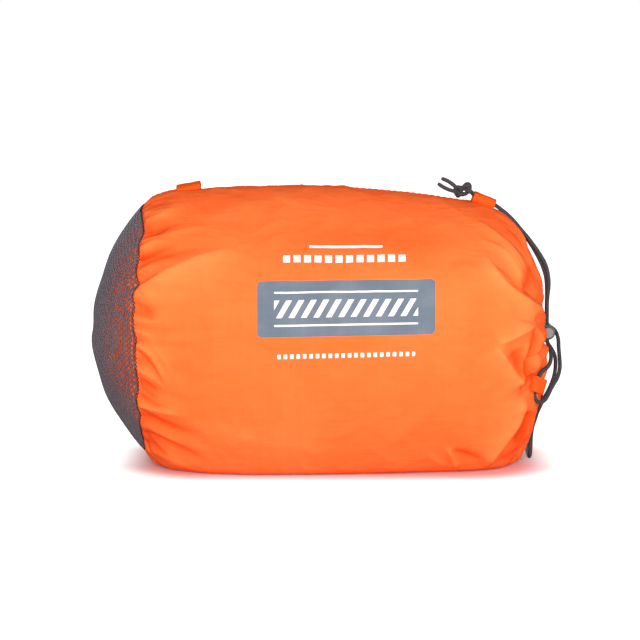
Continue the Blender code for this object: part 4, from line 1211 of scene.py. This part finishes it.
def buildBundle():
    b = bundleSet
    angles = pi / 2 + 2 * pi * np.arange(b["columns"]) / b["columns"]
    body = bundleBody(angles)
    closing = np.array([body[-1] * s + body[-1].mean(axis=0) * (1 - s) for s in b["closing"]])
    closing[:, :, 0] += b["closingStep"] * np.arange(1, len(closing) + 1)[:, None]
    rings = np.concatenate([bundleDome(angles), body, closing])
    bundle = closedSkin("canopyBundle", rings, plainCloth, flatUv(len(rings), b["flat"]))
    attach(bundle, "root")
    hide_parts("canopy_roll")


buildBundle()


# What lies in the heart of the roll: two seat panels, the rolled window and the rolled vent

padSet = {"rows": 60, "columns": 40, "endPower": 14, "sidePower": 0.45, "risePower": 0.7,
          "quiltAt": 0.34, "quiltWidth": 0.02, "quiltDepth": 0.10, "flat": (0.10, 0.30)}
rollSet = {"heart": 0.38, "perTurn": 26, "stations": 24,
           "windowRoll": {"turns": 2.2, "wall": 0.0005}, "ventSleeve": {"turns": 1.8, "wall": 0.0006}}


def nodeBox(node):
    # middle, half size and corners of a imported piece
    low, high = (np.array(corner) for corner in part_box(node))
    return (low + high) / 2, (high - low) / 2, low, high


def buildPad(node, name):
    p = padSet
    middle, half, _, _ = nodeBox(node)
    u, v = np.meshgrid(np.linspace(-1, 1, p["rows"]), np.linspace(0, 2 * pi, p["columns"], endpoint=False),
                       indexing="ij")
    end = (1 - np.abs(u) ** p["endPower"]) ** (1 / 3)
    quilt = 1 - p["quiltDepth"] * np.exp(-((np.abs(u) - p["quiltAt"]) / p["quiltWidth"]) ** 2)
    side = bluntWave(np.cos(v), p["sidePower"]) * end
    rise = bluntWave(np.sin(v), p["risePower"]) * end * quilt
    rings = (middle + np.stack([u, side, rise], axis=-1) * half)[1:-1]
    pad = closedSkin(name, rings, padCloth, flatUv(len(rings), p["flat"]))
    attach(pad, "root")
    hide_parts(node)


def buildRolled(node, name, finish):
    # a sheet rolled up on itself, open at both ends
    turns, wall = rollSet[name]["turns"], rollSet[name]["wall"]
    middle, half, low, high = nodeBox(node)
    t = np.linspace(0, 1, int(rollSet["perTurn"] * turns))
    reach = half[2] * (rollSet["heart"] + (1 - rollSet["heart"]) * t) - wall / 2
    spiral = np.stack([reach * np.cos(2 * pi * turns * t), reach * np.sin(2 * pi * turns * t)], axis=1)
    across = np.gradient(spiral, axis=0)
    across = np.stack([-across[:, 1], across[:, 0]], axis=1) / np.linalg.norm(across, axis=1)[:, None]
    outline = np.concatenate([spiral + across * wall / 2, (spiral - across * wall / 2)[::-1]])
    xs = np.linspace(low[0], high[0], rollSet["stations"])
    points = [(x, middle[1] + p, middle[2] + q) for x in xs for p, q in outline]
    columns, count = len(outline), len(spiral)
    faces = gridFaces(len(xs), columns)
    for start, flip in ((0, 1), ((len(xs) - 1) * columns, -1)):
        faces += [(start + k, start + k + 1, start + columns - 2 - k, start + columns - 1 - k)[::flip]
                  for k in range(count - 1)]
    made = addMesh(name, points, faces, finish, sharp=40)
    turnOutward(made)
    along = np.concatenate([np.arange(count), np.arange(count)[::-1]]) * (lineLength(spiral) / count)
    setUv(made, [(along[v % columns], xs[v // columns]) for polygon in made.data.polygons
                 for v in polygon.vertices])
    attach(made, "root")
    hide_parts(node)


buildPad("seat_panel_lower", "seatPanelLower")
buildPad("seat_panel_upper", "seatPanelUpper")
buildRolled("window_roll", "windowRoll", filmFinish)
buildRolled("vent_sleeve", "ventSleeve", netFinish)
print("net and packed pieces made")


# Seams

# section: points across the strip, as shares of half its width and of its height
seamStrip = {"width": 0.0042, "height": 0.00035, "start": -0.0925, "end": 0.0815, "step": 0.0009,
             "section": ((-1.0, -0.25), (-1.0, 0.45), (-0.86, 0.85), (-0.5, 1.0), (-0.30, 0.86), (0.0, 1.0),
                         (0.30, 0.86), (0.5, 1.0), (0.86, 0.85), (1.0, 0.45), (1.0, -0.25)),
             "wave": (0.004, 0.00010), "widen": 300, "sway": (0.02, 0.0004), "seed": 61,
             "flat": (0.012, 0.30), "pitch": 0.0034,
             "stitch": (0.00018, 0.00024, 0.00105), "stitchAt": (0.66, 0.98)}


def topOfSack(x):
    # height of the finished cloth along its top line
    line = sackPoints[:, 0]
    first = int(np.argmax(line[:, 0]))
    return np.interp(x, line[:first, 0], line[:first, 2])


def ripple(x, scale, amount):
    # a slow wave along X; the noise repeats after half a metre
    return amount * float(flowNoise((x + 0.2) * 2 % 1.0, 0.5, (int(0.5 / scale), 1), seamStrip["seed"]))


def buildTopSeam():
    s = seamStrip
    xs = np.arange(s["start"], s["end"], s["step"])
    half, tall = s["width"] / 2, s["height"]
    rings = []
    for x in xs:
        base, wave, sway = topOfSack(x), ripple(x, *s["wave"]), ripple(x, *s["sway"])
        rings.append([(x, half * y * (1 + wave * s["widen"]) + sway, base + z * tall + wave)
                      for y, z in s["section"]])
    strip = closedSkin("topSeam", np.array(rings), tapeFinish, flatUv(len(rings), s["flat"]))
    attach(strip, "root")
    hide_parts("top_seam")
    y, z = s["stitchAt"]
    lines = [[(x, side * half * y, topOfSack(x) + tall * z) for x in xs[3:-3:3]] for side in (-1, 1)]
    bakeStitches("topSeamStitches", lines, s["pitch"], s["stitch"])


# distances along the cloth, with how much of the seam's wander they follow, and shares of the net's reach
seamTapeSet = {"runs": (0.0042, 0.0004), "shifts": (0.65, 1.0), "shares": (0.985, 0.94),
               "insets": (0.0010, 0.0012), "wall": 0.0006, "columns": 360, "flat": (0.45, 0.016)}


def buildSeamTape():
    # the tape inside, half on the cloth and half on the net
    t = seamTapeSet
    ring = np.linspace(0, 2 * pi, t["columns"], endpoint=False)

    def face(sink):
        rows = []
        for run, shift in zip(t["runs"], t["shifts"]):
            row = sackPoint(np.full_like(ring, run), ring, t["insets"][0] + sink)
            row[:, 0] += seamShift(ring) * shift
            rows.append(row)
        return rows + [netPoint(np.full_like(ring, share), ring, t["insets"][1] + sink)
                       for share in t["shares"]]

    rings = np.array(face(0.0) + face(t["wall"])[::-1])
    tape = ringSkin("netSeamTape", rings, seamTapeFinish, flatUv(len(rings), t["flat"]), sharp=50)
    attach(tape, "root")
    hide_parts("net_seam_tape")


def onCloth(run, turn):
    # points of the finished cloth near the net, at a distance along it and a share of the way round
    column = np.interp((turn - 0.25) % 1.0, np.append(sackAround, 1.0), np.arange(len(sackAround) + 1))
    row = np.clip(np.interp(run, runAlong(sackPoints[:6, 0]), np.arange(6)), 0, 4.99)
    left, low = np.floor(column).astype(int) % sackSet["columns"], np.floor(row).astype(int)
    right = (left + 1) % sackSet["columns"]
    share, blend = (column - np.floor(column))[:, None], (row - low)[:, None]
    near = sackPoints[low, left] * (1 - share) + sackPoints[low, right] * share
    far = sackPoints[low + 1, left] * (1 - share) + sackPoints[low + 1, right] * share
    return near * (1 - blend) + far * blend


def buildSeamThread():
    # the zigzag thread over the cloth's edge
    s = seamSet
    turn = np.linspace(0, 1, s["zigzags"] * 8 + 1)
    run = np.interp(turn, np.linspace(0, 1, s["zigzags"] * 2 + 1), np.arange(s["zigzags"] * 2 + 1) % 2)
    line = onCloth(run * s["zigzag"], turn)
    away = line - (line[:, 0].mean(), 0.0, sackSet["axis"])
    away[:, 0] = 0
    line = line + away / np.linalg.norm(away, axis=1)[:, None] * s["threadRadius"] * s["sunk"]
    line[:, 2] = np.maximum(line[:, 2], s["threadRadius"])
    thread = bake(lineMesh("netSeamThread", [line]), strands,
                  {"Strand radius": s["threadRadius"], "Strand sides": s["threadSides"], "Yarn": greyThread})
    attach(thread, "root")


buildTopSeam()
buildSeamTape()
buildSeamThread()


# Tabs: folded tape, sewn into the top seam and onto the shoulder

tabSet = {
    "wall": 0.0009, "sides": 56, "rows": 15, "power": 2 / 2.7, "edge": 0.0012, "edgeShrink": 0.02,
    "wave": 0.00022, "waveCells": (5, 3), "lip": 1.02,
    "rear": {"x": -0.0722, "width": 0.0130, "spread": 0.0090, "height": 0.0036, "lift": 0.0003, "lean": 14.0,
             "pitch": -9.0, "seed": 71},
    "top": {"x": 0.0877, "width": 0.0126, "spread": 0.0096, "height": 0.0062, "lift": -0.0006, "lean": 5.0,
            "pitch": 6.0, "seed": 72},
    "side": {"place": (0.1126, -0.0476, 0.0480), "along": (0.731, 0.574, -0.359),
             "out": (0.609, -0.792, -0.026), "spread": 0.0104, "width": 0.0082, "height": 0.0056, "seed": 73},
}


def frameAt(origin, across, up):
    across, up = Vector(across).normalized(), Vector(up).normalized()
    made = Matrix((across, up, across.cross(up))).transposed().to_4x4()
    made.translation = origin
    return made


def smoothTop(x):
    return float(sackPoint(np.array(runAt(x)), np.array(pi / 2))[2])


def seamTabFrame(tab):
    slope = (smoothTop(tab["x"] + 0.002) - smoothTop(tab["x"] - 0.002)) / 0.004
    up = Vector((-slope, 0, 1)).normalized()
    place = frameAt(Vector((tab["x"], 0, smoothTop(tab["x"]))) + up * tab["lift"], (0, 1, 0), up)
    turned = place @ Matrix.Rotation(radians(tab["lean"]), 4, "Z")
    return turned @ Matrix.Rotation(radians(tab["pitch"]), 4, "X")


def buildTab(name, node, tab, place):
    # a loop of tape: soft oval section, its edges a little wavy
    t = tabSet
    a = 2 * pi * np.arange(t["sides"]) / t["sides"]
    width = tab["width"]

    def outline(inset):
        w, h = tab["spread"] / 2 - inset, tab["height"] / 2 - inset
        return np.stack([w * bluntWave(np.cos(a), t["power"]),
                         inset + h * (1 + bluntWave(np.sin(a), t["power"]))], axis=1)

    def level(loop, z):
        return np.column_stack([loop, np.full(len(loop), z)])

    outer, inner = outline(0.0), outline(t["wall"])
    alongs = np.linspace(-width / 2, width / 2, t["rows"])
    rows = []
    for z in alongs:
        edge = smoothStep(width / 2 - t["edge"], width / 2, abs(z))
        wave = t["wave"] * flowNoise(a / (2 * pi), (z / width + 0.5) * 0.99, t["waveCells"], tab["seed"])
        rows.append(level(outer * (1 - t["edgeShrink"] * edge, 1.0) + np.outer(wave, (0, 1)), z))
    middle = (outer + inner) / 2
    rows.append(level(middle, width / 2 * t["lip"]))
    rows += [level(inner, z) for z in alongs[::-1]]
    rows.append(level(middle, -width / 2 * t["lip"]))
    grid = np.array(rows)
    turn, shift = np.array(place.to_3x3()), np.array(place.translation)
    around = tab["spread"] * 2 + tab["height"] * 1.4
    made = ringSkin(name, grid @ turn.T + shift, tapeFinish,
                    lambda row, share: (share * around, grid[row, 0, 2]))
    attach(made, "root")
    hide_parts(node)


buildTab("rearTab", "rear_tab", tabSet["rear"], seamTabFrame(tabSet["rear"]))
buildTab("mouthTopTab", "mouth_top_tab", tabSet["top"], seamTabFrame(tabSet["top"]))
buildTab("mouthSideTab", "mouth_side_tab", tabSet["side"],
         frameAt(tabSet["side"]["place"], tabSet["side"]["along"], tabSet["side"]["out"]))


# Channel round the mouth, with the cord inside it

hemSet = {"radius": 0.0112, "bore": 0.0018, "wall": 0.0008, "gap": 0.00015, "opening": 30.0, "puckers": 13,
          "pucker": 0.0011, "puckerPower": 0.7, "puckerMiddle": 0.75, "steps": 220, "sides": 20, "inner": 0.9,
          "cordStep": 0.0012, "flat": (0.30, 0.016)}


def buildHem():
    # a ring of cloth round the cord, open where the two strands leave it
    h = hemSet
    middle = sackSet["mouthX"] + h["bore"] + h["wall"] + h["gap"]
    angles = np.linspace(radians(h["opening"]), 2 * pi - radians(h["opening"]), h["steps"])
    side = 2 * pi * np.arange(h["sides"]) / h["sides"]

    def ring(angle, radius, folded):
        fold = abs(sin(h["puckers"] * angle + 0.6 * sin(2 * angle))) ** h["puckerPower"]
        lean = 0.6 + 0.4 * np.cos(side - 0.6)
        size = radius + folded * h["pucker"] * (fold - h["puckerMiddle"]) * lean
        reach = h["radius"] + size * np.cos(side)
        return np.stack([middle + size * np.sin(side), reach * np.cos(angle),
                         sackSet["axis"] + reach * np.sin(angle)], axis=1)

    outer = [ring(angle, h["bore"] + h["wall"], 1.0) for angle in angles]
    inner = [ring(angle, h["bore"] * h["inner"], 0.0) for angle in angles[::-1]]
    hem = ringSkin("mouthHem", np.array(outer + inner), plainCloth,
                   lambda row, share: (row / h["steps"] * h["flat"][0], share * h["flat"][1]))
    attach(hem, "root")
    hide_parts("mouth_hem")
    route = [(middle, h["radius"] * cos(a), sackSet["axis"] + h["radius"] * sin(a)) for a in angles[::4]]
    cord = addTube("channelCord", smoothLine(route, h["cordStep"]), cordSet["radius"], cordFinish,
                   cordSet["sides"])
    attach(cord, "root")
    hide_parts("channel_cord")


buildHem()
print("seams, tabs and channel made")


# Cord lock

for node, finish in (("lock_barrel", shellFinish), ("lock_plunger", buttonFinish)):
    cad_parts[node].material_slots[0].material = finish

springSet = {"turns": 4, "wire": 0.00035, "drawn": 0.98, "points": 28, "sides": 10, "pressed": 0.52}


def buildSpring():
    # the coil behind the plunger
    s = springSet
    middle, half, low, high = nodeBox("lock_spring")
    radius = half[0] - s["wire"]
    turn = np.linspace(0, 2 * pi * s["turns"], s["turns"] * s["points"] + 1)
    along = np.linspace(low[1] + s["wire"], high[1] - s["wire"], len(turn))
    line = np.stack([middle[0] + radius * np.cos(turn), along, middle[2] + radius * np.sin(turn)], axis=1)
    spring = addTube("lockSpring", line, s["wire"] * s["drawn"], springFinish, s["sides"])
    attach(spring, "cord_lock")
    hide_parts("lock_spring")
    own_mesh(spring)


buildSpring()


# Studio

# the floor's pink colour is a painted orange glow round the sack
studioSet = {"world": 0.17, "floor": (1.0, 0.54, 0.54), "bounce": (0.62, 0.36, 0.34), "glow": 1.30,
             "middle": (0.008, 0.0), "foot": (0.100, 0.050), "corner": 0.030, "shadow": 0.96,
             "near": -0.002, "far": 0.030, "half": 6, "aim": (0, 0, 0.07)}
lamps = {
    "keyLamp": {"place": (0.05, -1.50, 0.30), "size": 0.60, "power": 27.5},
    "fillLamp": {"place": (-1.20, -0.90, 0.40), "size": 0.9, "power": 3.0},
    "sideLamp": {"place": (1.35, -0.55, 0.22), "size": 0.9, "power": 8.0},
    "topLamp": {"place": (0.0, -0.10, 1.40), "size": 0.9, "power": 2.6},
    "backLamp": {"place": (-0.3, 1.35, 0.60), "size": 1.2, "power": 11.0},
}


def addLamps():
    for name, lamp in lamps.items():
        data = bpy.data.lights.new(name, "AREA")
        data.size, data.energy = lamp["size"], lamp["power"]
        made = bpy.data.objects.new(name, data)
        scene.collection.objects.link(made)
        place = Vector(lamp["place"])
        aim = Vector(studioSet["aim"]) - place
        made.matrix_world = Matrix.Translation(place) @ aim.to_track_quat("-Z", "Y").to_matrix().to_4x4()


def lightPath(tree, kind):
    return tree.node("ShaderNodeLightPath", out=kind)


def clearTree(owner):
    owner.use_nodes = True
    owner.node_tree.nodes.clear()
    return Tree(owner.node_tree)


def addWorld():
    scene.world = bpy.data.worlds.new("studio")
    tree = clearTree(scene.world)
    straight = lightPath(tree, "Is Camera Ray").max(lightPath(tree, "Is Glossy Ray"))
    straight = straight.max(lightPath(tree, "Is Transmission Ray"))
    soft, white = (tree.node("ShaderNodeBackground", (), {"Color": (1, 1, 1, 1), "Strength": strength})
                   for strength in (studioSet["world"], 1.0))
    both = tree.node("ShaderNodeMixShader", (), [straight, soft, white])
    tree.node("ShaderNodeOutputWorld", (), {"Surface": both})


def addFloor():
    # white to the eye, with the real shadow kept close round the sack on a pink floor colour that paints the
    # sack's orange glow
    s = studioSet
    material = bpy.data.materials.new("studioFloor")
    tree = clearTree(material)
    place = tree.node("ShaderNodeTexCoord", out="Object")
    x, y = (tree.node("ShaderNodeSeparateXYZ", (), [place], out=axis) for axis in ("X", "Y"))
    away = roundedBox(x, y, s["middle"], s["foot"], s["corner"])
    share = away.step(s["far"], s["near"]) * s["shadow"]
    plain, dull = (tree.node("ShaderNodeBsdfDiffuse", (), {"Color": (*colour, 1)})
                   for colour in (s["floor"], s["bounce"]))
    glow = tree.node("ShaderNodeEmission", (), {"Color": (1, 1, 1, 1), "Strength": s["glow"]})
    mixed = tree.node("ShaderNodeMixShader", (), [share, glow, plain])
    both = tree.node("ShaderNodeMixShader", (), [lightPath(tree, "Is Camera Ray"), dull, mixed])
    tree.node("ShaderNodeOutputMaterial", (), {"Surface": both})
    half = s["half"]
    corners = [(-half, -half, 0), (half, -half, 0), (half, half, 0), (-half, half, 0)]
    floor = addMesh("studioFloorPlane", corners, [(0, 1, 2, 3)], material, smooth=False)


addLamps()
addWorld()
addFloor()
scene.view_settings.view_transform = "Standard"
print("studio made")
